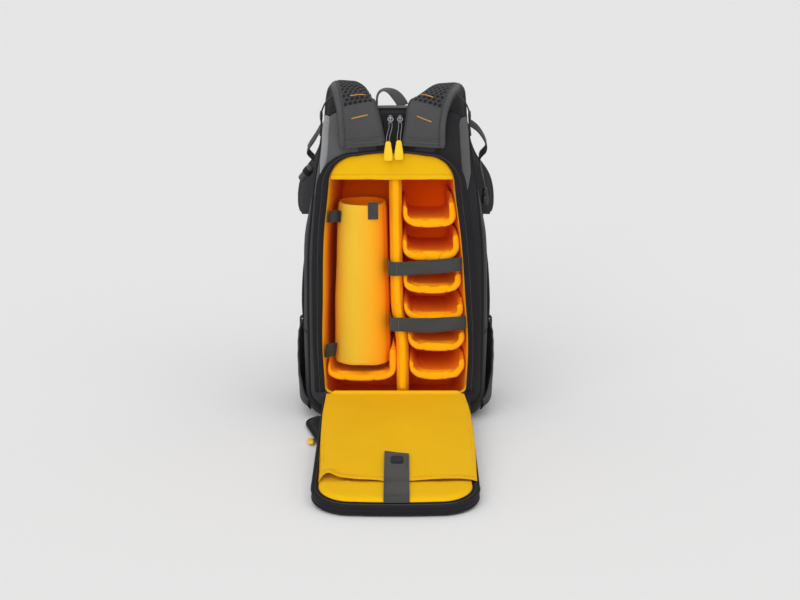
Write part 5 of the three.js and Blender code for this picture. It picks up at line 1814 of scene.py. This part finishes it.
# right: side-release buckle
ctr = np.array([151.5, 56, 351.0])
bk = [round_box("b", ctr + [0, 0, -5], (1, 0, 0), (0, 1, 0), (0, 0, 1), 10.5, 23, 17, M["hard"], power=5)]
for e in (-1, 1):
    bk.append(round_box("b", ctr + [0, e * 8.6, 7.5], (1, 0, 0), (0, 1, 0), (0, 0, 1), 7.5, 5.6, 12, M["hard"], power=3.4))
bk.append(round_box("b", ctr + [0, 0, 8.0], (1, 0, 0), (0, 1, 0), (0, 0, 1), 6, 6.5, 12, M["hard"], power=3.4))
bk.append(round_box("b", ctr + [0, 0, 12.8], (1, 0, 0), (0, 1, 0), (0, 0, 1), 7, 22, 4.2, M["hard"], power=4))
place(join("side_clasp", bk), ["side_buckle_right"])


# ------------------------------------------------------------- hip belt wings
BELTS = {
    "left": (rows("x y width turn", """
    -96 -87.5 66 1
    -103 -101 79 4
    -107 -122 78 -1
    -105 -150 72 -8
    -101 -178 66 -13
    -97 -204 60 -16
    -94 -222 48 -18"""), 1),
    "right": (rows("x y width turn", """
    -87 -87 58 0
    -84 -104 62 -4
    -78 -134 62 -10
    -70 -166 58 -18
    -58 -196 52 -26
    -44 -220 42 -34"""), -1),
}


def belt_curve(table, sign, n=80):
    A = np.array([[r["x"], r["y"], r["width"], r["turn"]] for r in table])
    D = catmull(A, n)
    tr = np.radians(D[:, 3])
    C = np.column_stack([sign * D[:, 0], D[:, 1]])
    W = np.column_stack([sign * np.cos(tr), np.sin(tr)])
    return C, W, D[:, 2] / 2


for side, (table, sign) in BELTS.items():
    C, W, hw_ = belt_curve(table, sign)
    R = []
    for i in range(len(C)):
        end = 1 - 0.5 * math.exp(-(len(C) - 1 - i) / 2.0)
        w = (hw_[i] - 1.4) * (1 - 0.12 * math.exp(-(len(C) - 1 - i) / 4.0))
        top = 10.4
        sec = [(-1, 3.2), (-0.985, 1.6), (-0.95, 0.8), (0.95, 0.8), (0.985, 1.6), (1, 3.2), (1, top - 3.4), (0.96, top - 1.2), (0.88, top), (-0.88, top), (-0.96, top - 1.2), (-1, top - 3.4)]
        R.append([(C[i][0] + W[i][0] * a * w, C[i][1] + W[i][1] * a * w, z if z < 5 else 5 + (z - 5) * end) for a, z in sec])
    ob = loft(f"belt_wing_{side}", R, M["rim"])

    def after(P, C=C, W=W, hw_=hw_):
        # sewn channels along the wing, and a dent just inside the bound edge
        d2 = ((P[:, None, :2] - C[None]) ** 2).sum(2)
        i = d2.argmin(1)
        a = ((P[:, :2] - C[i]) * W[i]).sum(1) / hw_[i]
        upz = P[:, 2] > 6
        dent = np.exp(-((np.abs(a) - 0.82) / 0.03) ** 2) * 1.3 + np.exp(-((a - 0.2) / 0.025) ** 2) * 1.1 + np.exp(-((a + 0.35) / 0.025) ** 2) * 1.1
        P[:, 2] -= dent * upz
        P[:, 2] += 0.7 * upz * quick_noise(P, 30.0, 13.0)
        P[:, 2] = np.maximum(P[:, 2], 0.2)
        return P
    puff(ob, 3.6, lambda P: np.where(P[:, 2] > 5, 2.6, 0.3), after=after)
    place(ob, [f"hip_belt_{side}"])
    edge = []
    for sgn in (-1, 1):
        pts = [(C[i][0] + W[i][0] * sgn * (hw_[i] - 1.2), C[i][1] + W[i][1] * sgn * (hw_[i] - 1.2), 6.2) for i in range(len(C))]
        edge.append(tube("e", resample(pts, 3.0), 2.0, M["rim"], sides=10))
    i = len(C) - 1
    pts = [(C[i][0] + W[i][0] * a * (hw_[i] - 1.2), C[i][1] + W[i][1] * a * (hw_[i] - 1.2), 6.2) for a in np.linspace(-1, 1, 20)]
    edge.append(tube("e", pts, 2.0, M["rim"], sides=10))
    place(join(f"belt_binding_{side}", edge), ())

# webbing end that comes out from under the wing and carries the tip
C = resample(catmull([(-104, -176, 2.2), (-112, -184, 2.4), (-121, -193, 3.6), (-128, -199.5, 5.2), (-132.5, -204, 6.0)], 60), 1.5)
web = ribbon("belt_webbing", C, (0.62, -0.78, 0), np.linspace(17, 12, len(C)), 2.0, M["web_black"], edge=0.35)
place(web, ())
c, s = math.cos(0.2), math.sin(0.2)
place(round_box("belt_yellow_tip", (-133.5, -206, 6), (c, s, 0), (-s, c, 0), (0, 0, 1), 9.4, 20, 5.4, M["pull"], power=3.2), ["belt_tip"])

# ------------------------------------------------------------------- finish
run_puffs()
